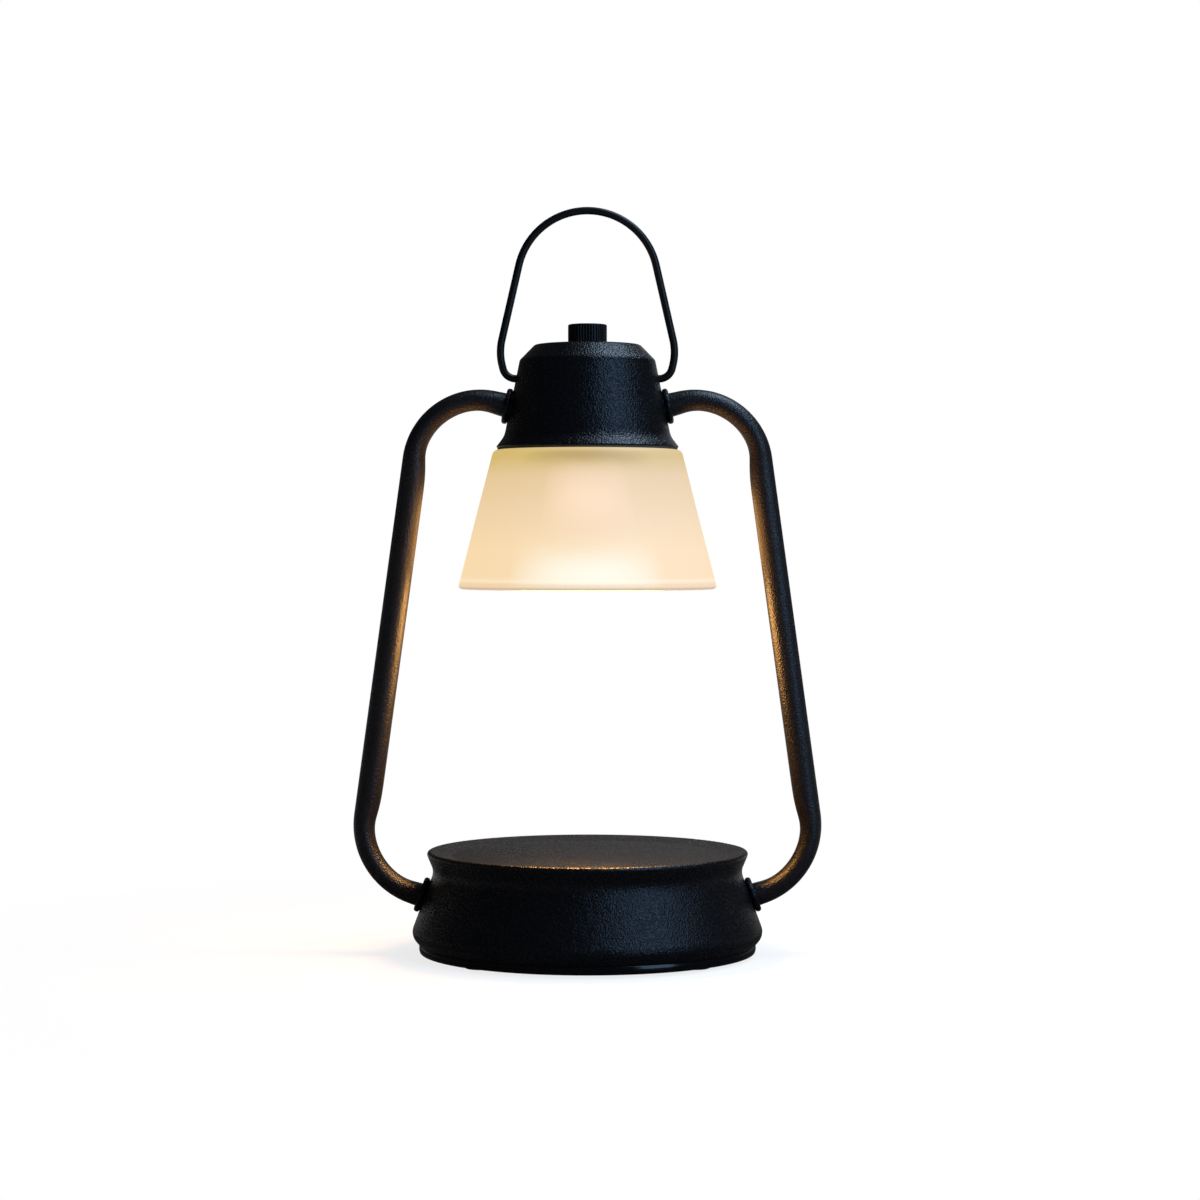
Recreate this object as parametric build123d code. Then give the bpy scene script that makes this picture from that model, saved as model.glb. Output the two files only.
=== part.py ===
from build123d import *
import os
from math import atan2, cos, degrees, hypot, radians, sin, tan

# A lantern that warms a candle from above: a weighted base with a tray, two bent tube arms, a housing with a
# dimmer, a reflector bulb inside a frosted glass shade, and a wire handle. Millimetres. X runs along the
# arms, the front faces -Y, +Z is up and the lantern stands on z = 0, centred on the Z axis.

# Shared fits
overrun = 1.0
running_gap = 0.08
thread_gap = 0.05
free_gap = 0.3

# Base
foot_proud = 0.8
ring_height = 3.6
ring_radius = 66.9
ring_groove = 0.5
ring_bulge = 0.6
ring_edge_round = 0.6
ring_crown_share = 0.9
wall = 1.6
base_foot_overhang = 3.1
base_foot_rise = 3.6
base_foot_round = 5.0
base_neck_inset = 9.2
base_wall_rise = 24.8
base_neck_round = 6.0
rim_flare = 3.5
rim_step = 8.4
rim_round = 1.2
tray_border = 10.8
tray_depth = 2.2
tray_round = 3.0
base_lip = 2.9

# Bottom cover, feet and ballast
cover_thickness = 2.4
spigot_height = 2.0
pad_radius = 6.0
pad_thickness = 1.6
pad_inset = 9.4
pad_count = 4
cover_screw_count = 3
cover_screw_inset = 6.0
cover_screw_angle = 30.0
screw_radius = 1.5
screw_head_radius = 2.7
screw_head_height = 1.8
screw_grip = 8.0
screw_slot_width = 0.8
screw_slot_depth = 0.9
boss_wall = 2.4
seat_height = 2.2
ballast_inset = 14.9
ballast_thickness = 8.0

# Cord gland in the back wall
gland_seat_up = 12.4
gland_bore_radius = 3.2
gland_neck_radius = 4.7
gland_flange_radius = 6.5
gland_flange = 1.5

# Terminal block
block_length = 22.0
block_width = 18.0
block_height = 13.0
block_inset = 19.0
block_pitch = 8.0
block_bore_radius = 1.2
block_wire_rise = 5.5
block_screw_radius = 1.7
block_screw_inset = 4.5

# Arms, collars and hollow bolts
tube_radius = 5.0
tube_wall = 1.0
shoulder_reach = 34.5
shoulder_round = 26.0
elbow_reach = 27.8
elbow_round = 28.0
base_seat_up = 14.8
housing_seat_up = 11.6
collar_radius = 7.1
collar_height = 2.4
collar_round_share = 0.45
seat_boss_radius = 8.0
seat_boss_height = 1.4
seat_boss_root_share = 0.75
bolt_bore_radius = 2.4
bolt_grip = 3.0
bolt_head_width = 11.0
bolt_head_height = 3.0
washer_radius = 6.8
washer_thickness = 0.8
washer_tooth_count = 12
washer_tooth_depth = 0.7

# Top housing, above the lip that the glass hangs under
lip_height = 200.2
lip_radius = 36.4
lip_width = 5.9
lip_round = 0.4
flare_inset = 3.5
flare_rise = 4.6
flare_round = 8.0
shoulder_inset = 6.1
housing_wall_rise = 30.0
shoulder_edge_round = 2.4
crown_inset = 6.0
crown_step = 6.1
crown_edge_round = 2.0

# Glass shade and what clamps it
gasket_thickness = 0.8
gasket_inset = 0.8
glass = 3.0
shade_overhang = 0.8
shade_flare = 14.0
shade_length = 54.6
shade_shoulder_round = 2.4
shade_rim_round = 1.2
ring_flange_inset = 2.5
ring_flange = 2.0
ring_collar_height = 3.4
ring_collar_wall = 3.0
ring_rib_count = 24
ring_rib_radius = 0.6

# Lamp holder and its strap
holder_inset = 11.5
holder_wall = 2.0
holder_drop = 9.2
holder_height = 31.0
holder_block = 15.0
holder_screw_inset = 8.0
pin_place = 5.0
pin_stem_radius = 1.5
pin_head_radius = 2.5
pin_gap = 0.2
pin_ledge = 2.5
pin_head_height = 3.0
pin_channel = 5.0
twist_angle = 25.0
strap_width = 14.0
strap_thickness = 1.5
strap_screw_inset = 4.2
strap_end = 3.4

# Reflector bulb
bulb_base_length_share = 21 / 34
bulb_base_width_share = 2 / 3
bulb_base_height = 13.0
bulb_base_round = 3.0
bulb_neck_radius = 7.5
bulb_socket_depth = 7.0
bulb_glass = 1.4
bulb_face_radius = 25.0
bulb_length = 47.0
bulb_rim_height = 3.5
bulb_waist_radius = 17.5
bulb_waist_drop = 28.0
bulb_neck_drop = 20.0
bulb_waist_round = 10.0
bulb_neck_round = 2.0
bulb_rim_round = 2.0
lens_thickness = 2.2
lens_inset = 0.4
capsule_radius = 5.0
capsule_length = 14.0
capsule_stem_radius = 2.4
capsule_drop = 25.0
capsule_round_share = 0.8

# Dimmer
can_radius = 9.0
can_wall = 0.8
bushing_radius = 3.5
bushing_length = 3.4
shaft_radius = 3.0
shaft_flat = 1.0
track_thickness = 1.5
rotor_radius = 7.8
rotor_thickness = 1.5
rotor_rise = 3.3
stop_inner_radius = 5.6
stop_outer_radius = 7.6
stop_height = 2.5
stop_angle = 36.0
lug_angle = 20.0
stop_gap_angle = 2.0
board_margin = 8.0
board_thickness = 1.2
board_drop = 11.1
nut_width = 10.0
nut_height = 2.0
dimmer_washer_radius = 5.6
dimmer_washer_thickness = 0.5
capacitor_size = (5.0, 9.0, 7.0)
triac_size = (3.6, 9.0, 6.4)
choke_radius = 3.2
choke_height = 6.0
component_inset = 4.0

# Knob
knob_radius = 7.7
knob_height = 7.4
knob_lift = 0.6
knob_skin = 1.3
knob_recess_height = 3.2
knob_edge_round = 0.6
knob_bore_depth = 2.6
flute_count = 40
flute_radius = 0.3

# Wire handle
wire_radius = 1.5
handle_pivot_drop = 7.3
handle_knee_inset = 1.4
handle_knee_rise = 10.3
handle_foot_inset = 2.6
handle_foot_round = 5.2
handle_knee_round = 22.0
handle_lean_angle = 12.9
handle_top_rise = 66.3
handle_end_reach = 3.6
handle_end_round = 0.5

# Wires inside
lead_radius = 0.6
lead_spread = 0.9
lead_drop_inset = 5.5
lead_turn_round = 2.0
lead_end_round = 2.2
lead_base_round = 9.0
board_joint_inset = 4.5
holder_joint_inset = 4.5
lead_fan_round = 9.0
lead_block_reach = 4.0

UP = (Align.CENTER, Align.CENTER, Align.MIN)

# Radii and places that follow from the sizes above
base_foot_radius = ring_radius + base_foot_overhang
base_neck_radius = base_foot_radius - base_neck_inset
rim_radius = base_neck_radius + rim_flare
tray_radius = rim_radius - tray_border
pad_circle = ring_radius - pad_inset
ballast_radius = ring_radius - ballast_inset
cover_screw_circle = ballast_radius - cover_screw_inset
block_place = ballast_radius - block_inset
lip_inner_radius = lip_radius - lip_width
flare_radius = lip_radius - flare_inset
shoulder_radius = flare_radius - shoulder_inset
crown_radius = shoulder_radius - crown_inset
shade_top_radius = lip_radius + shade_overhang
shade_mouth_radius = shade_top_radius + shade_flare
ring_flange_radius = lip_inner_radius - ring_flange_inset
holder_radius = lip_inner_radius - holder_inset
holder_screw_place = holder_radius - holder_screw_inset
bulb_base_length = 2 * (holder_radius - holder_wall) * bulb_base_length_share
bulb_base_width = bulb_base_length * bulb_base_width_share
strap_screw_place = shoulder_radius - strap_screw_inset
strap_half_length = strap_screw_place + strap_end
board_radius = can_radius + board_margin
component_circle = board_radius - component_inset
handle_knee_radius = lip_radius - handle_knee_inset
handle_foot_radius = handle_knee_radius - handle_foot_inset
lead_drop_place = shoulder_radius - lead_drop_inset
board_joint_place = board_radius - board_joint_inset
holder_joint_place = holder_radius - holder_joint_inset

# Heights of the main levels
ring_top = foot_proud + ring_height
foot_height = ring_top + base_foot_rise
neck_height = foot_height + base_wall_rise
rim_height = neck_height + rim_step
tray_height = rim_height - tray_depth
ballast_bottom = foot_proud + cover_thickness + seat_height
ballast_top = ballast_bottom + ballast_thickness
flare_height = lip_height + flare_rise
shoulder_height = flare_height + housing_wall_rise
crown_height = shoulder_height + crown_step
glass_top = lip_height - gasket_thickness
glass_under = glass_top - glass
holder_bottom = lip_height - holder_drop
holder_top = holder_bottom + holder_height
holder_ceiling = holder_top - holder_block
strap_top = holder_top + strap_thickness
bulb_top = holder_ceiling - free_gap
bulb_face = bulb_top - bulb_length
board_bottom = crown_height - wall - board_drop
board_top = board_bottom + board_thickness
pivot_height = shoulder_height - handle_pivot_drop
knob_bottom = crown_height + knob_lift
bolt_radius = tube_radius - tube_wall - thread_gap
block_wire_height = ballast_top + block_wire_rise


def rod(radius, bottom, top, x=0, y=0):
    """Upright cylinder."""
    return Pos(x, y, bottom) * Cylinder(radius, top - bottom, align=UP)


def tube(radius, bore, bottom, top):
    """Upright hollow cylinder on the Z axis."""
    return rod(radius, bottom, top) - rod(bore, bottom - overrun, top + overrun)


def spin(points, rounds):
    """Solid of revolution from a closed outline of (radius, height) corners and their roundings."""
    outline = FilletPolyline(*[(r, 0, z) for r, z in points], radius=rounds, close=True)
    return revolve(make_face(outline), Axis.Z)


def spin_wall(chain, rounds, thickness):
    """Turned wall whose outer face follows a chain of (radius, height) corners, thick to the left of it."""
    steps = [(b[0] - a[0], b[1] - a[1]) for a, b in zip(chain, chain[1:])]
    sides = [(-v / hypot(u, v), u / hypot(u, v)) for u, v in steps]
    inner = []
    inner_rounds = []
    for i, (r, z) in enumerate(chain):
        a = sides[max(i - 1, 0)]
        b = sides[min(i, len(sides) - 1)]
        miter = thickness / (1 + a[0] * b[0] + a[1] * b[1])
        inner.append((r + miter * (a[0] + b[0]), z + miter * (a[1] + b[1])))
        left_turn = a[0] * b[1] - a[1] * b[0] > 0
        change = -thickness if left_turn else thickness
        inner_rounds.append(max(rounds[i] + change, 0) if rounds[i] else 0)
    return spin(chain + inner[::-1], rounds + inner_rounds[::-1])


def sweep_round(radius, path):
    """Round bar along a path of straight runs and tangent arcs."""
    return sweep(Plane(origin=path @ 0, z_dir=path % 0) * Circle(radius), path=path)


def sector(inner_radius, outer_radius, bottom, top, middle, spread):
    """Part of an upright ring, spread either side of a middle angle."""
    face = Plane.XZ * Pos((inner_radius + outer_radius) / 2, (bottom + top) / 2) * Rectangle(
        outer_radius - inner_radius, top - bottom
    )
    return Rot(0, 0, middle - spread / 2) * revolve(face, Axis.Z, revolution_arc=spread)


def both_sides(shape):
    """The shape and its mirror image across the arms' middle plane, as separate solids."""
    return Compound(children=[*shape.solids(), *mirror(shape, Plane.YZ).solids()])


def around(shape, count, turn):
    """Copies of a shape, evenly spaced about the Z axis."""
    copies = [Rot(0, 0, turn + i * 360 / count) * shape for i in range(count)]
    return Compound(children=[solid for copy in copies for solid in copy.solids()])


def screw(top, grip, x=0, y=0):
    """Slotted pan-head screw, head down, whose shank ends at the given top."""
    seat = top - grip
    head = rod(screw_head_radius, seat - screw_head_height, seat)
    head -= Pos(0, 0, seat - screw_head_height) * Box(
        2 * screw_head_radius + overrun, screw_slot_width, screw_slot_depth, align=UP
    )
    return Pos(x, y, 0) * (head + rod(screw_radius, seat, top))


# Outer faces of the base and the housing, and the places on them where arms and gland sit

base_chain = [
    (ring_radius - base_lip, ring_top),
    (ring_radius, ring_top),
    (base_foot_radius, foot_height),
    (base_neck_radius, neck_height),
    (rim_radius, rim_height),
    (tray_radius, tray_height),
    (0, tray_height),
]
base_rounds = [0, 0, base_foot_round, base_neck_round, rim_round, tray_round, 0]

housing_chain = [
    (lip_inner_radius, lip_height),
    (lip_radius, lip_height),
    (flare_radius, flare_height),
    (shoulder_radius, shoulder_height),
    (crown_radius, crown_height),
    (0, crown_height),
]
housing_rounds = [0, lip_round, flare_round, shoulder_edge_round, crown_edge_round, 0]


def wall_seat(low, high, height):
    """Radius, height and upward tilt of the square outward line on a sloping wall at a height."""
    share = (height - low[1]) / (high[1] - low[1])
    radius = low[0] + share * (high[0] - low[0])
    return radius, height, atan2(low[0] - high[0], high[1] - low[1])


base_seat = wall_seat(base_chain[2], base_chain[3], foot_height + base_seat_up)
gland_seat = wall_seat(base_chain[2], base_chain[3], foot_height + gland_seat_up)
housing_seat = wall_seat(housing_chain[2], housing_chain[3], flare_height + housing_seat_up)


def on_seat(seat, shape):
    """Stand an upright shape on a wall seat on the +X side, with its own +Z pointing outwards."""
    radius, height, tilt = seat
    return Pos(radius, 0, height) * Rot(0, 90 - degrees(tilt), 0) * shape


def seat_point(seat, reach):
    """Point on a seat's outward line, as (x, z)."""
    radius, height, tilt = seat
    return radius + reach * cos(tilt), height + reach * sin(tilt)


def filled_base():
    """Base with no hollow, for trimming what sits on its wall."""
    return spin(base_chain + [(0, ring_top)], [0] + base_rounds[1:] + [0])


def filled_housing():
    """Housing with no hollow, for trimming what sits on its wall."""
    return spin(housing_chain + [(0, lip_height)], housing_rounds + [0])


def seat_boss():
    """Flat-ended pad behind a wall seat."""
    return rod(seat_boss_radius, -wall - seat_boss_height, -wall * seat_boss_root_share)


def seat_hole():
    """Hole for an arm bolt through a wall seat."""
    return rod(bolt_radius + thread_gap, -wall - seat_boss_height - overrun, overrun)


def cover_screw_rods(radius, bottom, top):
    """Upright cylinders on the cover screws' circle, for posts and holes."""
    return around(rod(radius, bottom, top, cover_screw_circle), cover_screw_count, cover_screw_angle)


def base_shell():
    """Sheet base with its tray, screw posts, arm seats and gland hole."""
    shell = spin_wall(base_chain, base_rounds, wall)
    shell += cover_screw_rods(screw_radius + boss_wall, ballast_top, tray_height - wall / 2)
    hole_top = ballast_top + screw_grip + overrun
    shell -= cover_screw_rods(screw_radius + thread_gap, ballast_top - overrun, hole_top)
    for turn in (0, 180):
        shell += Rot(0, 0, turn) * on_seat(base_seat, seat_boss())
        shell -= Rot(0, 0, turn) * on_seat(base_seat, seat_hole())
    hole = rod(gland_neck_radius, -wall - gland_flange - overrun, overrun)
    return shell - Rot(0, 0, 90) * on_seat(gland_seat, hole)


def bottom_cover():
    """Cover plate whose crowned and grooved edge is the ring under the base."""
    spigot_radius = ring_radius - base_lip - free_gap
    middle = foot_proud + ring_height / 2
    edge_radius = ring_radius - ring_bulge
    lean = atan2(ring_bulge, ring_height / 2)
    edge_run = ring_edge_round * tan((radians(90) - lean) / 2)
    crown_run = ring_crown_share * (hypot(ring_bulge, ring_height / 2) - edge_run)
    cover = spin(
        [(0, foot_proud), (edge_radius, foot_proud), (ring_radius, middle), (edge_radius, ring_top), (0, ring_top)],
        [0, ring_edge_round, crown_run / tan(lean), ring_edge_round, 0],
    )
    cover += rod(spigot_radius, ring_top, ring_top + spigot_height)
    seat = foot_proud + cover_thickness
    cover -= rod(spigot_radius - cover_thickness, seat, ring_top + spigot_height + overrun)
    cover -= tube(
        ring_radius + overrun, ring_radius - ring_groove, middle - ring_groove / 2, middle + ring_groove / 2
    )
    cover += cover_screw_rods(screw_head_radius + boss_wall, seat - overrun, ballast_bottom)
    cover -= cover_screw_rods(screw_head_radius + free_gap, 0, foot_proud + screw_head_height + free_gap)
    cover -= cover_screw_rods(screw_radius + free_gap, 0, ballast_bottom + overrun)
    pocket = rod(pad_radius + running_gap, 0, pad_thickness, pad_circle)
    return cover - around(pocket, pad_count, 180 / pad_count)


def foot_pads():
    """Rubber pads in the cover's pockets."""
    return around(rod(pad_radius, 0, pad_thickness, pad_circle), pad_count, 180 / pad_count)


def ballast():
    """Iron disc between the cover and the screw posts."""
    disc = rod(ballast_radius, ballast_bottom, ballast_top)
    disc -= cover_screw_rods(screw_radius + free_gap, ballast_bottom - overrun, ballast_top + overrun)
    tapped_bottom = ballast_top - screw_grip / 2
    return disc - rod(screw_radius + thread_gap, tapped_bottom, ballast_top + overrun, -block_place)


def cover_screws():
    """Screws through the cover and the ballast into the posts."""
    top = ballast_top + screw_grip
    seat = foot_proud + screw_head_height + free_gap
    return around(screw(top, top - seat, cover_screw_circle), cover_screw_count, cover_screw_angle)


def cord_gland():
    """Rubber gland that grips the edge of its hole in the back wall."""
    body = rod(gland_flange_radius, -wall - gland_flange, gland_flange)
    body -= rod(gland_bore_radius, -wall - gland_flange - overrun, gland_flange + overrun)
    return Rot(0, 0, 90) * on_seat(gland_seat, body) - base_shell()


def block_wires(radius, start, end):
    """Two level bars along X through the terminal block's wire holes."""
    bar = Plane.YZ * Cylinder(radius, end - start, align=UP)
    bars = [Pos(start, side * block_pitch / 2, block_wire_height) * bar for side in (-1, 1)]
    return Compound(children=bars)


def block_screw_places():
    """Where the clamping screws stand, as (x, y)."""
    reach = block_length / 2 - block_screw_inset
    ends = (-block_place - reach, -block_place + reach)
    return [(x, side * block_pitch / 2) for x in ends for side in (-1, 1)]


def terminal_block():
    """Insulating block that joins the supply to the arm's wires."""
    block = Pos(-block_place, 0, ballast_top) * Box(block_length, block_width, block_height, align=UP)
    half = block_length / 2 + overrun
    block -= block_wires(block_bore_radius, -block_place - half, -block_place + half)
    top = ballast_top + block_height
    for x, y in block_screw_places():
        block -= rod(block_screw_radius + thread_gap, block_wire_height, top + overrun, x, y)
    block -= rod(screw_radius + free_gap, ballast_top - overrun, top + overrun, -block_place)
    head_seat = top - screw_head_height - free_gap
    return block - rod(screw_head_radius + free_gap, head_seat, top + overrun, -block_place)


def terminal_screws():
    """Four clamping screws and the screw that holds the block to the ballast."""
    top = ballast_top + block_height
    clamps = [
        rod(block_screw_radius, block_wire_height + lead_radius, top - screw_slot_depth, x, y)
        for x, y in block_screw_places()
    ]
    seat = top - screw_head_height - free_gap
    grip = seat - ballast_top + screw_grip / 2
    fixing = Pos(-block_place, 0, 0) * Pos(0, 0, seat) * Rot(180, 0, 0) * screw(grip, grip)
    return Compound(children=[solid for shape in [*clamps, fixing] for solid in shape.solids()])


def arm_corners(y=0):
    """Corners of an arm's middle line, from inside the housing to inside the base."""
    inside = seat_boss_height + wall
    places = [
        seat_point(housing_seat, -inside),
        seat_point(housing_seat, shoulder_reach),
        seat_point(base_seat, elbow_reach),
        seat_point(base_seat, -inside),
    ]
    return [(x, y, z) for x, z in places]


def arm():
    """Bent tube from the housing's wall to the base's wall, on the +X side."""
    path = FilletPolyline(*arm_corners(), radius=[shoulder_round, elbow_round])
    solid = sweep_round(tube_radius, path) - sweep_round(tube_radius - tube_wall, path)
    return solid - filled_base() - filled_housing()


def collar():
    """Collar with a round edge at a tube's end, and a narrower root that is later trimmed to its wall."""
    edge = collar_height * collar_round_share
    body = rod(collar_radius, 0, collar_height)
    body = fillet(body.edges().filter_by(GeomType.CIRCLE), edge)
    body += rod(collar_radius - edge, -wall, edge)
    return body - rod(tube_radius, -wall - overrun, collar_height + overrun)


def upper_collars():
    """Collars where the arms meet the housing."""
    return both_sides(on_seat(housing_seat, collar()) - filled_housing())


def lower_collars():
    """Collars where the arms meet the base."""
    return both_sides(on_seat(base_seat, collar()) - filled_base())


def toothed_washer():
    """Lock washer with an outer row of teeth, under a bolt's head."""
    top = -wall - seat_boss_height
    disc = rod(washer_radius, top - washer_thickness, top)
    notch = rod(washer_tooth_depth, top - washer_thickness - overrun, top + overrun, washer_radius)
    disc -= around(notch, washer_tooth_count, 0)
    return disc - rod(bolt_radius + thread_gap, top - washer_thickness - overrun, top + overrun)


def hollow_bolt():
    """Hollow bolt from inside a wall into a tube's end, with the way through for wires."""
    seat = -wall - seat_boss_height - washer_thickness
    head = Pos(0, 0, seat - bolt_head_height) * extrude(
        RegularPolygon(bolt_head_width / 2, 6, major_radius=False), bolt_head_height
    )
    body = head + rod(bolt_radius, seat, bolt_grip)
    return body - rod(bolt_bore_radius, seat - bolt_head_height - overrun, bolt_grip + overrun)


def at_four_seats(shape):
    """One copy of a shape on each arm seat."""
    seated = [on_seat(seat, shape) for seat in (housing_seat, base_seat)]
    return both_sides(Compound(children=[solid for copy in seated for solid in copy.solids()]))


def top_housing():
    """Cast housing with arm seats, strap posts, handle holes and the dimmer's hole."""
    shell = spin_wall(housing_chain, housing_rounds, wall)
    solid = filled_housing()
    for side in (-1, 1):
        y = side * strap_screw_place
        post = rod(screw_radius + boss_wall, strap_top, crown_height - wall / 2, 0, y)
        shell += post & solid
        shell -= rod(screw_radius + thread_gap, strap_top - overrun, strap_top + screw_grip, 0, y)
    for turn in (0, 180):
        shell += Rot(0, 0, turn) * on_seat(housing_seat, seat_boss())
        shell -= Rot(0, 0, turn) * on_seat(housing_seat, seat_hole())
    pivot = Rot(0, 90, 0) * Cylinder(wire_radius + running_gap, 2 * lip_radius)
    shell -= Pos(0, 0, pivot_height) * pivot
    return shell - rod(bushing_radius + thread_gap, crown_height - wall - overrun, crown_height + overrun)


def glass_shade():
    """Frosted glass cone with a flat top that the shade ring clamps."""
    hole = holder_radius + 2 * free_gap
    mouth = glass_top - shade_length
    chain = [(shade_mouth_radius, mouth), (shade_top_radius, glass_top), (hole, glass_top)]
    outline = spin_wall(chain, [0, shade_shoulder_round, 0], glass)
    rim = outline.edges().filter_by(GeomType.CIRCLE).sort_by(Axis.Z)[:2]
    return fillet(rim, shade_rim_round)


def shade_gasket():
    """Soft ring between the glass and the housing's lip."""
    return tube(lip_radius - gasket_inset, lip_inner_radius, glass_top, lip_height)


def shade_ring():
    """Ring that screws up the lamp holder and clamps the glass."""
    bore = holder_radius + thread_gap
    ring = tube(ring_flange_radius, bore, glass_under - ring_flange, glass_under)
    bottom = glass_under - ring_flange - ring_collar_height
    ring += tube(bore + ring_collar_wall, bore, bottom, glass_under - ring_flange)
    rib = rod(ring_rib_radius, bottom, glass_under - ring_flange, bore + ring_collar_wall)
    return ring - around(rib, ring_rib_count, 0)


def twist_slot(width, bottom, top):
    """Curved slots that the bulb's pins turn in."""
    line = CenterArc((0, 0), pin_place, -twist_angle, twist_angle)
    slot = Pos(0, 0, bottom) * extrude(SlotArc(line, width), top - bottom)
    return around(slot, 2, 0)


def lamp_holder():
    """Twist-lock holder with a skirt that carries the shade ring."""
    holder = rod(holder_radius, holder_bottom, holder_top)
    holder -= rod(holder_radius - holder_wall, holder_bottom - overrun, holder_ceiling)
    ledge = holder_ceiling + pin_ledge
    holder -= twist_slot(2 * (pin_stem_radius + pin_gap), holder_ceiling - overrun, ledge + overrun)
    holder -= twist_slot(2 * (pin_head_radius + pin_gap), ledge, ledge + pin_channel)
    entry = rod(pin_head_radius + pin_gap, holder_ceiling - overrun, ledge + overrun, pin_place)
    holder -= around(entry, 2, -twist_angle)
    for side in (-1, 1):
        y = side * holder_screw_place
        holder -= rod(screw_radius + free_gap, holder_ceiling - overrun, holder_top + overrun, 0, y)
        head_top = holder_ceiling + screw_head_height + free_gap
        holder -= rod(screw_head_radius + free_gap, holder_ceiling - overrun, head_top, 0, y)
    return holder


def holder_contacts():
    """Brass contacts above the bulb's pins."""
    ledge = holder_ceiling + pin_ledge
    bottom = ledge + pin_head_height + 2 * thread_gap
    return twist_slot(2 * (pin_head_radius + pin_gap), bottom, ledge + pin_channel)


def holder_strap():
    """Steel strap across the housing that carries the lamp holder."""
    strap = Pos(0, 0, holder_top) * Box(strap_width, 2 * strap_half_length, strap_thickness, align=UP)
    low = holder_top - overrun
    high = strap_top + overrun
    for side in (-1, 1):
        strap -= rod(screw_radius + thread_gap, low, high, 0, side * holder_screw_place)
        strap -= rod(screw_radius + free_gap, low, high, 0, side * strap_screw_place)
    return strap


def holder_screws():
    """Screws from the holder up into the strap."""
    seat = holder_ceiling + screw_head_height + free_gap
    screws = [screw(strap_top, strap_top - seat, 0, side * holder_screw_place) for side in (-1, 1)]
    return Compound(children=screws)


def strap_screws():
    """Screws from the strap up into the housing's posts."""
    grip = strap_thickness + screw_grip - overrun
    screws = [screw(holder_top + grip, grip, 0, side * strap_screw_place) for side in (-1, 1)]
    return Compound(children=screws)


def bulb_base():
    """Ceramic base of the bulb, with the socket for the reflector's neck."""
    block = extrude(RectangleRounded(bulb_base_length, bulb_base_width, bulb_base_round), bulb_base_height)
    block = Pos(0, 0, bulb_top - bulb_base_height) * block
    socket_top = bulb_top - bulb_base_height + bulb_socket_depth
    return block - rod(bulb_neck_radius, bulb_top - bulb_base_height - overrun, socket_top)


def bulb_pins():
    """Headed pins that hang the bulb in its holder."""
    ledge = holder_ceiling + pin_ledge + thread_gap
    pin = rod(pin_stem_radius, bulb_top, ledge, pin_place)
    pin += rod(pin_head_radius, ledge, ledge + pin_head_height, pin_place)
    return around(pin, 2, 0)


def bulb_reflector():
    """Glass reflector bowl, open at its face."""
    neck_top = bulb_top - bulb_base_height + bulb_socket_depth
    chain = [
        (bulb_face_radius, bulb_face),
        (bulb_face_radius, bulb_face + bulb_rim_height),
        (bulb_waist_radius, bulb_top - bulb_waist_drop),
        (bulb_neck_radius, bulb_top - bulb_neck_drop),
        (bulb_neck_radius, neck_top),
    ]
    return spin_wall(chain, [0, bulb_rim_round, bulb_waist_round, bulb_neck_round, 0], bulb_glass)


def bulb_lens():
    """Front glass set into the reflector's rim."""
    bottom = bulb_face + lens_inset
    return rod(bulb_face_radius - bulb_glass, bottom, bottom + lens_thickness)


def bulb_capsule():
    """Glass capsule with its stem up into the base."""
    stem_top = bulb_top - bulb_base_height + bulb_socket_depth
    top = bulb_top - capsule_drop
    capsule = rod(capsule_radius, top - capsule_length, top)
    capsule = fillet(capsule.edges().filter_by(GeomType.CIRCLE), capsule_radius * capsule_round_share)
    return capsule + rod(capsule_stem_radius, top - overrun, stem_top)


def dimmer_can():
    """Metal can of the dimmer with its threaded bushing."""
    top = crown_height - wall
    can = rod(can_radius, board_top, top) + rod(bushing_radius, top - overrun, crown_height + bushing_length)
    can -= rod(can_radius - can_wall, board_top - overrun, top - can_wall)
    return can - rod(shaft_radius + running_gap, board_top, crown_height + bushing_length + overrun)


def dimmer_track():
    """Insulating floor of the dimmer with the stop that ends its turn."""
    floor_top = board_top + track_thickness
    floor = rod(can_radius - can_wall, board_top, floor_top)
    root = floor_top - track_thickness / 2
    return floor + sector(stop_inner_radius, stop_outer_radius, root, floor_top + stop_height, 0, stop_angle)


def dimmer_shaft():
    """Shaft with the wiper disc and the lug that meets the stop."""
    floor = board_top + track_thickness
    disc_bottom = floor + rotor_rise
    shaft_top = knob_bottom + knob_recess_height + knob_bore_depth - free_gap
    shaft = rod(shaft_radius, disc_bottom, shaft_top)
    shaft += rod(rotor_radius, disc_bottom, disc_bottom + rotor_thickness)
    middle = stop_angle / 2 + stop_gap_angle + lug_angle / 2
    root = disc_bottom + rotor_thickness / 2
    shaft += sector(stop_inner_radius, stop_outer_radius, floor + free_gap, root, middle, lug_angle)
    return shaft - shaft_flat_cut(crown_height + bushing_length)


def shaft_flat_cut(bottom):
    """Block that cuts the flat on the shaft, above a height."""
    return Pos(0, 2 * shaft_radius - shaft_flat, bottom) * Box(
        4 * shaft_radius, 2 * shaft_radius, knob_height, align=UP
    )


def dimmer_nut():
    """Hexagon nut that clamps the dimmer to the housing."""
    bottom = crown_height + dimmer_washer_thickness
    body = Pos(0, 0, bottom) * extrude(RegularPolygon(nut_width / 2, 6, major_radius=False), nut_height)
    return body - rod(bushing_radius + thread_gap, bottom - overrun, bottom + nut_height + overrun)


def dimmer_washer():
    """Flat washer under the dimmer's nut."""
    top = crown_height + dimmer_washer_thickness
    return tube(dimmer_washer_radius, bushing_radius + thread_gap, crown_height, top)


def dimmer_board():
    """Round circuit board under the dimmer's can."""
    return rod(board_radius, board_bottom, board_top)


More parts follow.
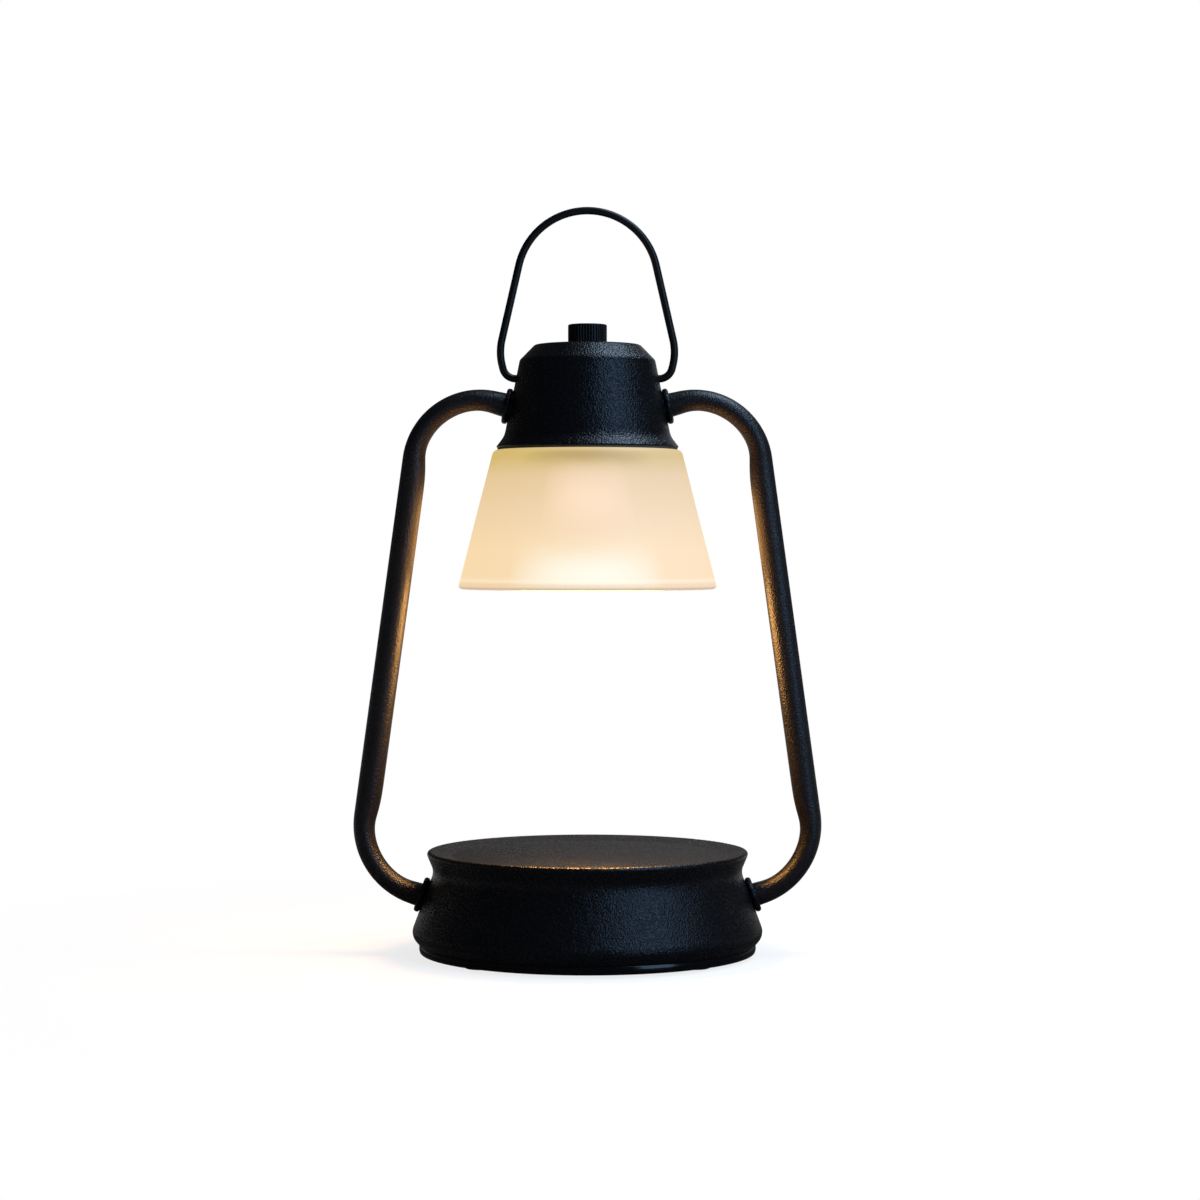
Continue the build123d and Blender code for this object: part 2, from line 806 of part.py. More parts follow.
def dimmer_parts():
    """Capacitor, switching block and choke on the board."""
    capacitor = Pos(component_circle, 0, board_top) * Box(*capacitor_size, align=UP)
    triac = Pos(component_circle, 0, board_top) * Box(*triac_size, align=UP)
    choke = rod(choke_radius, board_top, board_top + choke_height, component_circle)
    return Compound(children=[capacitor, Rot(0, 0, 120) * triac, Rot(0, 0, 240) * choke])


def knob():
    """Fluted knob with a recess over the nut and a flatted bore for the shaft."""
    top = knob_bottom + knob_height
    body = rod(knob_radius, knob_bottom, top)
    body = fillet(body.faces().sort_by(Axis.Z)[-1].edges(), knob_edge_round)
    body -= rod(knob_radius - knob_skin, knob_bottom - overrun, knob_bottom + knob_recess_height)
    bore = rod(shaft_radius + thread_gap, knob_bottom, knob_bottom + knob_recess_height + knob_bore_depth)
    bore -= Pos(0, thread_gap, 0) * shaft_flat_cut(knob_bottom)
    body -= bore
    flute = rod(flute_radius, knob_bottom - overrun, top + overrun, knob_radius)
    return body - around(flute, flute_count, 0)


def handle():
    """Wire bail with its two feet in the housing's holes."""
    inner = housing_wall_radius(pivot_height) - wall - handle_end_reach
    lean = radians(handle_lean_angle)
    knee_height = pivot_height + handle_knee_rise
    apex = knee_height + handle_knee_radius / tan(lean)
    crown_round = (apex - pivot_height - handle_top_rise) / (1 / sin(lean) - 1)
    half = [(inner, pivot_height), (handle_foot_radius, pivot_height), (handle_knee_radius, knee_height)]
    corners = [(x, 0, z) for x, z in half] + [(0, 0, apex)] + [(-x, 0, z) for x, z in half[::-1]]
    rounds = [handle_foot_round, handle_knee_round, crown_round, handle_knee_round, handle_foot_round]
    wire = sweep_round(wire_radius, FilletPolyline(*corners, radius=rounds))
    ends = wire.edges().filter_by(GeomType.CIRCLE).filter_by_position(Axis.X, -inner, inner)
    return fillet(ends, handle_end_round)


def housing_wall_radius(height):
    """Outer radius of the housing's sloping wall at a height."""
    return wall_seat(housing_chain[2], housing_chain[3], height)[0]


def arm_lead(side, joint_place, joint_height):
    """Wire from a joint in the housing through the left arm to the terminal block."""
    y = side * lead_spread
    turn_x, turn_z = seat_point(housing_seat, (lead_drop_place - housing_seat[0]) / cos(housing_seat[2]))
    fall = (base_seat[1] - block_wire_height) / sin(base_seat[2])
    base_x, _ = seat_point(base_seat, -fall)
    block_face = block_place + block_length / 2
    fan_y = side * block_pitch / 2
    corners = [
        (joint_place, y, joint_height),
        (lead_drop_place, y, joint_height),
        (turn_x, y, turn_z),
        *arm_corners(y)[1:3],
        (base_x, y, block_wire_height),
        (block_face + lead_block_reach, fan_y, block_wire_height),
        (block_face - lead_block_reach, fan_y, block_wire_height),
    ]
    rounds = [lead_end_round, lead_turn_round, shoulder_round, elbow_round, lead_base_round, lead_fan_round]
    return mirror(sweep_round(lead_radius, FilletPolyline(*corners, radius=rounds)), Plane.YZ)


def live_wire():
    """Wire to the dimmer's board."""
    return arm_lead(1, board_joint_place, board_bottom - lead_radius)


def neutral_wire():
    """Wire to the top of the lamp holder."""
    return arm_lead(-1, holder_joint_place, holder_top + lead_radius)


def lamp_wire():
    """Short wire from the board down to the lamp holder."""
    return rod(lead_radius, holder_top, board_bottom, holder_joint_place)


pieces = {
    "base_shell": base_shell(),
    "bottom_cover": bottom_cover(),
    "foot_pads": foot_pads(),
    "cover_screws": cover_screws(),
    "ballast": ballast(),
    "cord_gland": cord_gland(),
    "terminal_block": terminal_block(),
    "terminal_screws": terminal_screws(),
    "right_arm": arm(),
    "left_arm": mirror(arm(), Plane.YZ),
    "upper_collars": upper_collars(),
    "lower_collars": lower_collars(),
    "arm_washers": at_four_seats(toothed_washer()),
    "arm_bolts": at_four_seats(hollow_bolt()),
    "top_housing": top_housing(),
    "glass_shade": glass_shade(),
    "shade_gasket": shade_gasket(),
    "shade_ring": shade_ring(),
    "lamp_holder": lamp_holder(),
    "holder_contacts": holder_contacts(),
    "holder_strap": holder_strap(),
    "holder_screws": holder_screws(),
    "strap_screws": strap_screws(),
    "bulb_base": bulb_base(),
    "bulb_pins": bulb_pins(),
    "bulb_reflector": bulb_reflector(),
    "bulb_lens": bulb_lens(),
    "bulb_capsule": bulb_capsule(),
    "dimmer_can": dimmer_can(),
    "dimmer_track": dimmer_track(),
    "dimmer_shaft": dimmer_shaft(),
    "dimmer_nut": dimmer_nut(),
    "dimmer_washer": dimmer_washer(),
    "dimmer_board": dimmer_board(),
    "dimmer_parts": dimmer_parts(),
    "knob": knob(),
    "handle": handle(),
    "live_wire": live_wire(),
    "neutral_wire": neutral_wire(),
    "lamp_wire": lamp_wire(),
}

os.makedirs("parts", exist_ok=True)
for name, shape in pieces.items():
    export_step(shape, f"parts/{name}.step")
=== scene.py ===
import math

import bpy
import numpy as np
from bpy.props import FloatProperty, FloatVectorProperty, IntProperty, PointerProperty
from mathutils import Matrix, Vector


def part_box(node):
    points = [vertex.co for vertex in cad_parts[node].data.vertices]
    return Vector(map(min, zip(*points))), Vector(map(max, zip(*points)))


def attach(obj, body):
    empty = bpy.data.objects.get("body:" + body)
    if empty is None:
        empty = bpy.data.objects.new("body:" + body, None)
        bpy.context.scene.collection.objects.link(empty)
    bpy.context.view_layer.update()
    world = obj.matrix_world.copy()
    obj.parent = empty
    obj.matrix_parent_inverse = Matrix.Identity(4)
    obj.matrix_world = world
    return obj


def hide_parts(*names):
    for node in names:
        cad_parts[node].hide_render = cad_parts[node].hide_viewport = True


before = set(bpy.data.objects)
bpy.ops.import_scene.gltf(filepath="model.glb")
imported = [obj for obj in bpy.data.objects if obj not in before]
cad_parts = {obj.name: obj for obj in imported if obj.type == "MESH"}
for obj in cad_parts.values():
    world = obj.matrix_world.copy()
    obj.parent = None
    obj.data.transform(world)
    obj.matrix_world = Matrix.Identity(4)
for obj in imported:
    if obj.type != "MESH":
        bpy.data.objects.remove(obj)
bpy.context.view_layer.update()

bl_info = {
    "name": "Lantern warmer",
    "version": (1, 0, 0),
    "blender": (4, 5, 0),
    "location": "View3D > Sidebar > Lantern",
    "description": "Dresses the lantern's frame with its tubes, shade, knob, handle, finishes and studio",
    "category": "Object",
}

shade_low, shade_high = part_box("glass_shade")
knob_low, knob_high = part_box("knob")
lens_low, lens_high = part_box("bulb_lens")
_, handle_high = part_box("handle")

# Steps along the meshes' lines, in metres
arm_step = 0.0012
shade_step = 0.0012
wire_step = 0.0007
knob_step = 0.0006

# Fewest points on an arc and on a straight run, with their ends
fewest_on_arc = 5
fewest_on_run = 3

# Counts of points round the meshes
arm_columns = 56
shade_columns = 160
wire_columns = 28
columns_per_flute = 10
lens_columns = 180

# Rings on each side of the bulb's front glass, and the first and last as shares of its radius
lens_rings = 46
lens_first_ring = 0.02
lens_last_ring = 0.985

# Radius of the ring next to the middle of the knob's closed ends
pole_radius = 0.0008

# Range that holds most values of a noise
noise_low = 0.3
noise_high = 0.7


def length(name, description, default):
    """A length in metres for the sidebar."""
    return FloatProperty(name=name, description=description, default=default, precision=5, unit="LENGTH")


def pair(name, description, default):
    """Two lengths in metres for the sidebar."""
    return FloatVectorProperty(
        name=name, description=description, default=default, size=2, precision=5, unit="LENGTH"
    )


def direction(name, description, default):
    """A direction for the sidebar, of any length."""
    return FloatVectorProperty(
        name=name, description=description, default=default, size=3, precision=3, subtype="DIRECTION"
    )


def colour(name, description, default):
    """A linear colour for the sidebar."""
    return FloatVectorProperty(
        name=name, description=description, default=default, size=3, min=0.0, max=1.0, subtype="COLOR"
    )


def number(name, description, default):
    """A plain number for the sidebar."""
    return FloatProperty(name=name, description=description, default=default, precision=3)


def count(name, description, default):
    """A whole number for the sidebar."""
    return IntProperty(name=name, description=description, default=default)


class LanternSizes(bpy.types.PropertyGroup):
    """Sizes of the surfaces that stand for frame nodes."""

    tube_radius: length("Tube radius", "Outer radius of the arms' straight runs", 0.005)
    tube_pinch: length("Tube pinch", "How far a bend draws in the inner side of the tube", 0.0017)
    tube_swell: length("Tube swell", "How far a bend pushes the tube's flanks outwards", 0.0003)
    tube_blend: length("Tube blend", "Run over which the tube goes from round to pinched", 0.007)
    upper_seat: pair("Upper seat", "Where an arm meets the housing, as x and z", (0.030541, 0.2164))
    upper_corner: pair("Upper corner", "Corner of the arm's middle line at the top", (0.064349, 0.223274))
    lower_corner: pair("Lower corner", "Corner of the arm's middle line at the bottom", (0.090574, 0.032469))
    lower_seat: pair("Lower seat", "Where an arm meets the base, as x and z", (0.064510, 0.0228))
    upper_bend: length("Upper bend", "Radius of the arm's upper bend at its middle line", 0.026)
    lower_bend: length("Lower bend", "Radius of the arm's lower bend at its middle line", 0.028)

    shade_height: length("Shade height", "From the shade's top down to its mouth's outer edge", 0.0546)
    shade_mouth: length("Shade mouth", "Outer radius at the shade's mouth", 0.0512)
    shade_top: length("Shade top", "Outer radius at the shade's shoulder", 0.0372)
    shade_hole: length("Shade hole", "Radius of the hole in the shade's top", 0.0196)
    shade_glass: length("Glass", "Thickness of the shade's glass", 0.003)
    shade_shoulder: length("Shoulder round", "Rounding of the shade's shoulder", 0.0024)
    shade_inner: length("Inner round", "Rounding on the inner side of the shoulder", 0.0012)
    shade_rim: length("Rim round", "Rounding of the shade's fire-polished rim", 0.0011)
    shade_edge: length("Edge round", "Rounding of the edges of the shade's hole", 0.0003)
    shade_wave: length("Glass wave", "Height of the slow waves in the blown glass", 0.00012)
    wave_fade: length("Wave fade", "Run over which the waves die out at the shoulder", 0.004)
    wave_lobes: count("Wave lobes", "Number of waves round the shade", 3)
    wave_slant: number("Wave slant", "Turn of the waves with height, in radians per metre", 40.0)
    wave_climb: number("Wave climb", "Rise and fall of the waves with height, in radians per metre", 60.0)

    wire_radius: length("Wire radius", "Radius of the handle's wire", 0.0015)
    wire_pivot: length("Wire pivot", "Height of the handle's feet", 0.2275)
    wire_end: length("Wire end", "Distance of a wire end from the middle", 0.023084)
    wire_end_round: length("Wire end round", "Run over which the wire is rounded at its ends", 0.0005)
    wire_end_share: number("Wire end share", "Radius of a wire end's face as a share of the wire's", 0.65)
    wire_foot: length("Wire foot", "Distance of the foot's bend from the middle", 0.0324)
    wire_knee: length("Wire knee", "Distance of the knee's bend from the middle", 0.035)
    wire_knee_rise: length("Knee rise", "Height of the knee above the feet", 0.0103)
    wire_lean: number("Wire lean", "Inward lean of the handle's legs in degrees", 12.9)
    wire_foot_bend: length("Foot bend", "Radius of the foot's bend", 0.0052)
    wire_knee_bend: length("Knee bend", "Radius of the knee's bend", 0.022)

    knob_radius: length("Knob radius", "Outer radius of the knob", 0.0077)
    knob_flutes: count("Flutes", "Number of flutes round the knob", 40)
    knob_flute: length("Flute depth", "Depth of the knob's flutes", 0.00045)
    flute_reach: length("Flute reach", "Distance in from the side at which the flutes have died out", 0.0009)
    flute_fade: length("Flute fade", "Run over which the flutes die out inwards", 0.0006)
    knob_edge: length("Knob edge", "Rounding of the knob's top edge", 0.0006)
    knob_rim: length("Knob rim", "Width of the rim round the knob's dish", 0.0015)
    knob_slope: length("Knob slope", "Width of the slope from the rim into the dish", 0.0004)
    knob_dish: length("Knob dish", "Depth of the shallow dish in the knob's top", 0.0003)
    knob_wall: length("Knob wall", "Thickness of the wall round the knob's recess", 0.0013)
    knob_recess: length("Knob recess", "Depth of the recess under the knob", 0.0032)
    knob_bore: length("Knob bore", "Radius of the hole for the shaft", 0.00305)
    knob_bore_depth: length("Bore depth", "Depth of the hole for the shaft above the recess", 0.0026)
    knob_crease: length("Knob crease", "Smallest rounding of the knob's corners", 0.0001)

    lens_radius: length("Lens radius", "Radius of the bulb's front glass", 0.0236)
    lens_dome: length("Lens dome", "Height of the front glass's bulge", 0.0003)
    lens_pebble: length("Lens pebble", "Height of the pebbles on the front glass", 0.00018)
    lens_pitch: length("Pebble pitch", "Distance between the pebbles", 0.0026)
    pebble_reach: number("Pebble reach", "Share of the radius at which the pebbles have died out", 0.93)
    pebble_fade: number("Pebble fade", "Share of the radius over which the pebbles die out", 0.05)


class LanternFinishes(bpy.types.PropertyGroup):
    """Colours of the lantern's finishes, linear, and the levels of its lit glass."""

    coat: colour("Powder coat", "Black powder coat", (0.0014, 0.0014, 0.0018))
    coat_speck: colour("Coat speck", "Raised grains of the powder coat", (0.0028, 0.0029, 0.0036))
    # Lit copy of the powder coat, lighter than on the base and housing so that the bulb's light shows on the
    # arms: painted light
    arm_coat_lit_copy: colour("Arm coat", "Duller black powder coat of the arms", (0.0034, 0.0030, 0.0032))
    coat_sheen: colour("Coat sheen", "Tint of the powder coat's gloss", (0.72, 0.84, 1.0))
    arm_sheen: colour("Arm sheen", "Tint of the arms' gloss", (0.78, 0.87, 1.0))
    wire: colour("Wire paint", "Satin paint of the handle", (0.0022, 0.0022, 0.0027))
    cover: colour("Cover", "Gloss black moulding under the base", (0.0020, 0.0020, 0.0025))
    knob: colour("Knob", "Black moulding of the knob", (0.0016, 0.0016, 0.0020))
    rubber: colour("Rubber", "Black rubber", (0.018, 0.018, 0.018))
    silicone: colour("Silicone", "Smoke grey gasket", (0.030, 0.028, 0.025))
    iron: colour("Iron", "As-cast ballast", (0.10, 0.10, 0.105))
    steel: colour("Steel", "Zinc-plated steel", (0.56, 0.57, 0.59))
    aluminium: colour("Aluminium", "Turned shade ring", (0.66, 0.66, 0.67))
    ceramic: colour("Ceramic", "Unglazed lamp ceramic", (0.76, 0.73, 0.66))
    brass: colour("Brass", "Contact brass", (0.66, 0.46, 0.18))
    mirror: colour("Mirror", "Aluminised reflector", (0.82, 0.80, 0.77))
    plastic: colour("Plastic", "Terminal block", (0.74, 0.74, 0.71))
    board: colour("Board", "Circuit board laminate", (0.26, 0.13, 0.05))
    component: colour("Component", "Component bodies", (0.06, 0.10, 0.24))
    live: colour("Live wire", "Live insulation", (0.26, 0.05, 0.03))
    neutral: colour("Neutral wire", "Neutral insulation", (0.70, 0.70, 0.67))

    glass: colour("Glass", "Body of the frosted glass", (0.05, 0.06, 0.08))
    glass_passage: colour("Glass passage", "Tint of the light that passes the glass", (0.92, 0.68, 0.40))
    glow_top: colour("Glow top", "Glow of the glass under the housing", (0.66, 0.47, 0.145))
    # Painted shade of the lamp holder and its ring, seen through the glass as a darker glow
    glow_holder_shade: colour("Glow dim", "Glow of the glass in front of the lamp holder", (0.47, 0.31, 0.06))
    glow_high: colour("Glow high", "Glow of the glass a quarter down", (0.78, 0.57, 0.30))
    glow_middle: colour("Glow middle", "Glow of the glass half way down", (0.86, 0.64, 0.37))
    glow_low: colour("Glow low", "Glow of the glass above the rim", (0.93, 0.69, 0.40))
    glow_rim: colour("Glow rim", "Glow of the polished rim", (0.80, 0.60, 0.36))
    # Painted shade along the rim's lowest edge, as a darker glow
    rim_edge_shade: colour("Glow edge", "Glow of the rim's lowest edge", (0.42, 0.31, 0.26))
    glow_hot: colour("Glow hot", "Glow of the glass in front of the bulb's face", (0.98, 0.92, 0.74))
    glow_neck: colour("Glow neck", "Glow of the glass in front of the bulb's neck", (0.98, 0.72, 0.48))
    lamp: colour("Lamp", "Light of the bulb", (1.0, 0.46, 0.115))
    lens_level: number("Lens level", "Brightness of the bulb's front glass", 4.0)
    capsule_level: number("Capsule level", "Brightness of the bulb's capsule", 6.0)


class LanternStage(bpy.types.PropertyGroup):
    """Camera, light and floor."""

    camera_distance: length("Distance", "Camera's distance in front of the lantern", 1.140)
    camera_height: length("Height", "Camera's height", 0.1618)
    camera_lens: number("Lens", "Focal length in millimetres", 86.4)
    camera_sensor: number("Sensor", "Width of the camera's sensor in millimetres", 36.0)
    camera_tilt: number("Tilt", "Camera's downward tilt in degrees", 1.094)
    camera_turn: number("Turn", "Camera's turn to the right in degrees", 0.2487)

    aim_height: length("Aim height", "Height of the point that the soft boxes face", 0.14)
    box_distance: length("Box distance", "Distance of the soft boxes from that point", 1.0)
    key_way: direction("Key direction", "Where the soft box on the right stands", (0.646, -0.646, 0.407))
    key_size: pair("Key size", "Width and height of the soft box on the right", (0.45, 0.95))
    key_power: number("Key", "Power of the soft box on the right, in watts", 10.0)
    key_tint: colour("Key tint", "Light of the soft box on the right", (0.44, 0.69, 1.0))
    top_way: direction("Top direction", "Where the soft box above stands", (0.40, 0.05, 0.92))
    top_size: pair("Top size", "Width and height of the soft box above", (0.70, 0.45))
    top_power: number("Top", "Power of the soft box above, in watts", 13.0)
    top_tint: colour("Top tint", "Light of the soft box above", (0.62, 0.81, 1.0))
    back_way: direction("Back direction", "Where the soft box behind stands", (0.20, 0.93, 0.30))
    back_size: pair("Back size", "Width and height of the soft box behind", (0.60, 0.40))
    back_power: number("Back", "Power of the soft box behind, in watts", 0.3)
    back_tint: colour("Back tint", "Light of the soft box behind", (0.80, 0.90, 1.0))

    lamp_power: number("Lamp", "Power of the bulb's light, in watts", 2.7)
    lamp_spread: length("Lamp spread", "Radius of the bulb's light", 0.036)
    lamp_drop: length("Lamp drop", "Distance of the bulb's light below its front glass", 0.032)
    glow_power: number("Glow", "Power that each side of the shade throws on its arm, in watts", 0.05)
    glow_share: number("Glow height", "Height of that light as a share of the shade's", 0.36)
    glow_size: pair("Glow size", "Width and height of that light", (0.05, 0.03))
    glow_gap: length("Glow gap", "Distance of that light from the glass", 0.001)

    sky_level: number("Sky", "Level of the even light all round", 0.14)
    room_level: number("Room", "Level of the dim side of the room as gloss shows it", 0.05)
    lit_edge: number("Lit edge", "Cosine of the angle from the top box at which the dim side begins", 0.75)

    paper: colour("Paper", "Pale paper of the floor", (0.80, 0.80, 0.80))
    floor_reach: length("Floor", "Distance from the middle to the floor's sides", 4.0)
    floor_gap: length("Floor gap", "How far the floor lies below the lantern", 0.0002)
    floor_near: number("Floor near", "Share of plain white in the floor beside the lantern", 0.80)
    shadow_start: length("Shadow start", "Distance at which the floor begins to fade to white", 0.09)
    shadow_reach: length("Shadow reach", "Distance at which the floor has faded to white", 0.32)
    # Painted shadow: how dark the floor beside the lantern shows in reflections
    mirror_shadow_level: number("Mirror near", "Level of the floor beside the lantern as gloss shows it", 0.05)
    mirror_far: number("Mirror far", "Level of the floor further out as gloss shows it", 0.6)
    mirror_reach: length("Mirror reach", "Distance at which the floor has that level", 0.64)


class Nodes:
    """A node tree being made: adds linked nodes in one call."""

    def __init__(self, tree):
        self.tree = tree

    def fill(self, node, values):
        """Set a node's sockets to numbers, or link them to other sockets."""
        for key, value in values.items():
            if isinstance(value, bpy.types.NodeSocket):
                self.tree.links.new(value, node.inputs[key])
            else:
                node.inputs[key].default_value = value

    def add(self, kind, values=None, **settings):
        """A new node with its settings and sockets."""
        node = self.tree.nodes.new(kind)
        for key, value in settings.items():
            setattr(node, key, value)
        self.fill(node, values or {})
        return node

    def maths(self, operation, *values):
        """One arithmetic node."""
        return self.add("ShaderNodeMath", dict(enumerate(values)), operation=operation).outputs[0]

    def span(self, value, low, high, start=0.0, end=1.0, **settings):
        """Carry a range of a value over to another range, with the ends held."""
        values = {"Value": value, "From Min": low, "From Max": high, "To Min": start, "To Max": end}
        return self.add("ShaderNodeMapRange", values, **settings).outputs["Result"]


class Finish(Nodes):
    """A node material being made, with its shader and the place on the piece."""

    def __init__(self, name, shader=None):
        self.material = bpy.data.materials.new(name)
        self.material.use_nodes = True
        super().__init__(self.material.node_tree)
        self.shader = self.tree.nodes["Principled BSDF"]
        self.output = self.tree.nodes["Material Output"]
        self.place = self.add("ShaderNodeTexCoord").outputs["Object"]
        self.set(shader or {})

    def set(self, values):
        """Set or link sockets of the shader."""
        self.fill(self.shader, values)

    def axes(self):
        """The place's x, y and z."""
        return self.add("ShaderNodeSeparateXYZ", {"Vector": self.place}).outputs

    def reach(self):
        """The place's distance from the upright axis."""
        x, y, _ = self.axes()
        squares = self.maths("ADD", self.maths("POWER", x, 2.0), self.maths("POWER", y, 2.0))
        return self.maths("SQRT", squares)

    def stretch(self, scale):
        """The place with each axis scaled."""
        return self.add("ShaderNodeMapping", {"Vector": self.place, "Scale": scale}).outputs["Vector"]

    def noise(self, scale, detail=3.0, rough=0.55, place=None):
        """Fractal noise, with scale in cells per metre."""
        values = {"Vector": place or self.place, "Scale": scale, "Detail": detail, "Roughness": rough}
        return self.add("ShaderNodeTexNoise", values).outputs["Fac"]

    def cells(self, scale):
        """Distance to the nearest of scattered points, with scale in cells per metre."""
        return self.add("ShaderNodeTexVoronoi", {"Vector": self.place, "Scale": scale}).outputs["Distance"]

    def vary(self, noise, start, end):
        """Carry most of a noise's values over to a range."""
        return self.span(noise, noise_low, noise_high, start, end)

    def blend(self, share, first, second):
        """Mix of two colours."""
        values = {0: share, 6: first, 7: second}
        return self.add("ShaderNodeMix", values, data_type="RGBA").outputs[2]

    def ramp(self, value, stops):
        """Colour from a value by stops of (position, colour)."""
        node = self.add("ShaderNodeValToRGB", {"Fac": value})
        points = node.color_ramp.elements
        while len(points) < len(stops):
            points.new(0.5)
        for point, (position, tint) in zip(points, stops):
            point.position = position
            point.color = (*tint, 1.0)
        return node.outputs["Color"]

    def mottle(self, noise, first, second):
        """Colour that goes from one to another over most of a noise's values."""
        return self.ramp(noise, [(noise_low, first), (noise_high, second)])

    def bump(self, height, strength, depth):
        """Relief on the shader from a height value, with its depth in metres."""
        values = {"Height": height, "Strength": strength, "Distance": depth}
        self.set({"Normal": self.add("ShaderNodeBump", values).outputs["Normal"]})


def shade_of(tint, factor):
    """A colour made darker or lighter."""
    return toned(tint, factor, factor, factor)


def toned(tint, *factors):
    """A colour with its red, green and blue each made darker or lighter."""
    return tuple(min(channel * factor, 1.0) for channel, factor in zip(tint, factors))


def powder_coat(name, tint, speck, sheen, gloss, dullness, relief, bands=()):
    """Textured black coat: fine raised grains that catch the light, with slow changes of gloss, and bands
    (low, high, change) of height in which its roughness changes, as where it runs thin over an edge."""
    grain_spread = 0.05
    band_fade = 0.0008
    coat = Finish(name, {"Specular IOR Level": gloss, "Specular Tint": (*sheen, 1.0)})
    fine = coat.noise(scale=1650.0, detail=0.0)
    slow = coat.noise(scale=45.0)
    z = coat.axes()[2]
    grained = coat.span(fine, 0.34, 0.66, dullness + grain_spread, dullness - grain_spread)
    dull = coat.maths("ADD", grained, coat.vary(slow, -0.02, 0.04))
    for low, high, change in bands:
        above = coat.span(z, low, low + band_fade)
        below = coat.span(z, high - band_fade, high, 1.0, 0.0)
        within = coat.maths("MULTIPLY", above, below)
        dull = coat.maths("ADD", dull, coat.span(within, 0.0, 1.0, 0.0, change))
    coat.set({"Base Color": coat.ramp(fine, [(0.38, tint), (0.68, speck)]), "Roughness": dull})
    coat.bump(fine, relief, depth=0.0004)
    return coat.material


def satin_paint(name, tint):
    """Smooth sprayed paint with a faint orange peel."""
    paint = Finish(name, {"Specular IOR Level": 0.08, "Coat Weight": 0.03, "Coat Roughness": 0.25})
    peel = paint.noise(scale=900.0, detail=2.0)
    slow = paint.noise(scale=60.0)
    paint.set({
        "Base Color": paint.mottle(slow, tint, shade_of(tint, 1.7)),
        "Roughness": paint.vary(slow, 0.30, 0.42),
    })
    paint.bump(peel, strength=0.12, depth=0.0002)
    return paint.material


def moulded(name, tint, roughness, relief=0.08, gloss=0.3):
    """Moulded plastic: even colour with slow flow marks and a fine mould grain."""
    plastic = Finish(name, {"Specular IOR Level": gloss})
    flow = plastic.noise(scale=55.0, detail=4.0, rough=0.6, place=plastic.stretch((1.0, 1.0, 0.4)))
    fine = plastic.noise(scale=1800.0, detail=2.0)
    plastic.set({
        "Base Color": plastic.mottle(flow, shade_of(tint, 0.88), shade_of(tint, 1.12)),
        "Roughness": plastic.vary(fine, roughness - 0.04, roughness + 0.05),
    })
    plastic.bump(fine, relief, depth=0.0002)
    return plastic.material


def rubbery(name, tint):
    """Matt rubber with a dusty bloom and a fine pebble."""
    rubber = Finish(name, {"Specular IOR Level": 0.2})
    bloom = rubber.noise(scale=180.0, detail=4.0)
    pebble = rubber.cells(scale=1500.0)
    rubber.set({
        "Base Color": rubber.ramp(bloom, [(0.35, tint), (0.75, shade_of(tint, 1.6))]),
        "Roughness": rubber.vary(bloom, 0.68, 0.85),
    })
    rubber.bump(pebble, strength=0.15, depth=0.0002)
    return rubber.material


def metal(name, tint, roughness, brush, relief=0.1):
    """Bare metal with fine lines, packed closer along one axis, and faint stains."""
    bare = Finish(name, {"Metallic": 1.0})
    lines = bare.noise(scale=700.0, place=bare.stretch(brush))
    stain = bare.noise(scale=120.0, detail=4.0)
    bare.set({
        "Base Color": bare.ramp(stain, [(noise_low, shade_of(tint, 0.82)), (0.65, tint)]),
        "Roughness": bare.vary(lines, roughness - 0.07, roughness + 0.10),
    })
    bare.bump(lines, relief, depth=0.0001)
    return bare.material


def cast_iron(name, tint):
    """Sand-cast iron: coarse pits and rust-brown bloom."""
    iron = Finish(name, {"Metallic": 0.7})
    pits = iron.noise(scale=650.0, detail=5.0, rough=0.7)
    bloom = iron.noise(scale=90.0, detail=4.0)
    rust = toned(tint, 1.5, 0.95, 0.6)
    iron.set({
        "Base Color": iron.ramp(bloom, [(0.4, tint), (0.75, rust)]),
        "Roughness": iron.vary(pits, 0.55, 0.8),
    })
    iron.bump(pits, strength=0.5, depth=0.0004)
    return iron.material


def lamp_ceramic(name, tint):
    """Unglazed steatite: chalky with tiny dark specks."""
    body = Finish(name, {"Specular IOR Level": 0.35})
    chalk = body.noise(scale=300.0, detail=4.0)
    around_specks = body.span(body.cells(scale=900.0), 0.02, 0.12)
    pale = body.mottle(chalk, shade_of(tint, 0.9), tint)
    tinted = body.blend(around_specks, (*shade_of(tint, 0.55), 1.0), pale)
    body.set({"Base Color": tinted, "Roughness": body.vary(chalk, 0.5, 0.68)})
    body.bump(chalk, strength=0.12, depth=0.0002)
    return body.material


def circuit_board(name, tint, copper):
    """Laminate with slanting copper strips under its lacquer, by sin(k*(x + |y|))."""
    radians_per_metre = 1400.0
    board = Finish(name)
    x, y, _ = board.axes()
    weave = board.noise(scale=1500.0, detail=2.0)
    slanted = board.maths("ADD", x, board.maths("ABSOLUTE", y))
    strips = board.maths("SINE", board.maths("MULTIPLY", slanted, radians_per_metre))
    mask = board.span(strips, 0.45, 0.55)
    base = board.mottle(weave, shade_of(tint, 0.85), tint)
    mixed = board.blend(mask, base, (*copper, 1.0))
    board.set({"Base Color": mixed, "Roughness": board.vary(weave, 0.32, 0.45)})
    board.bump(mask, strength=0.2, depth=0.0001)
    return board.material


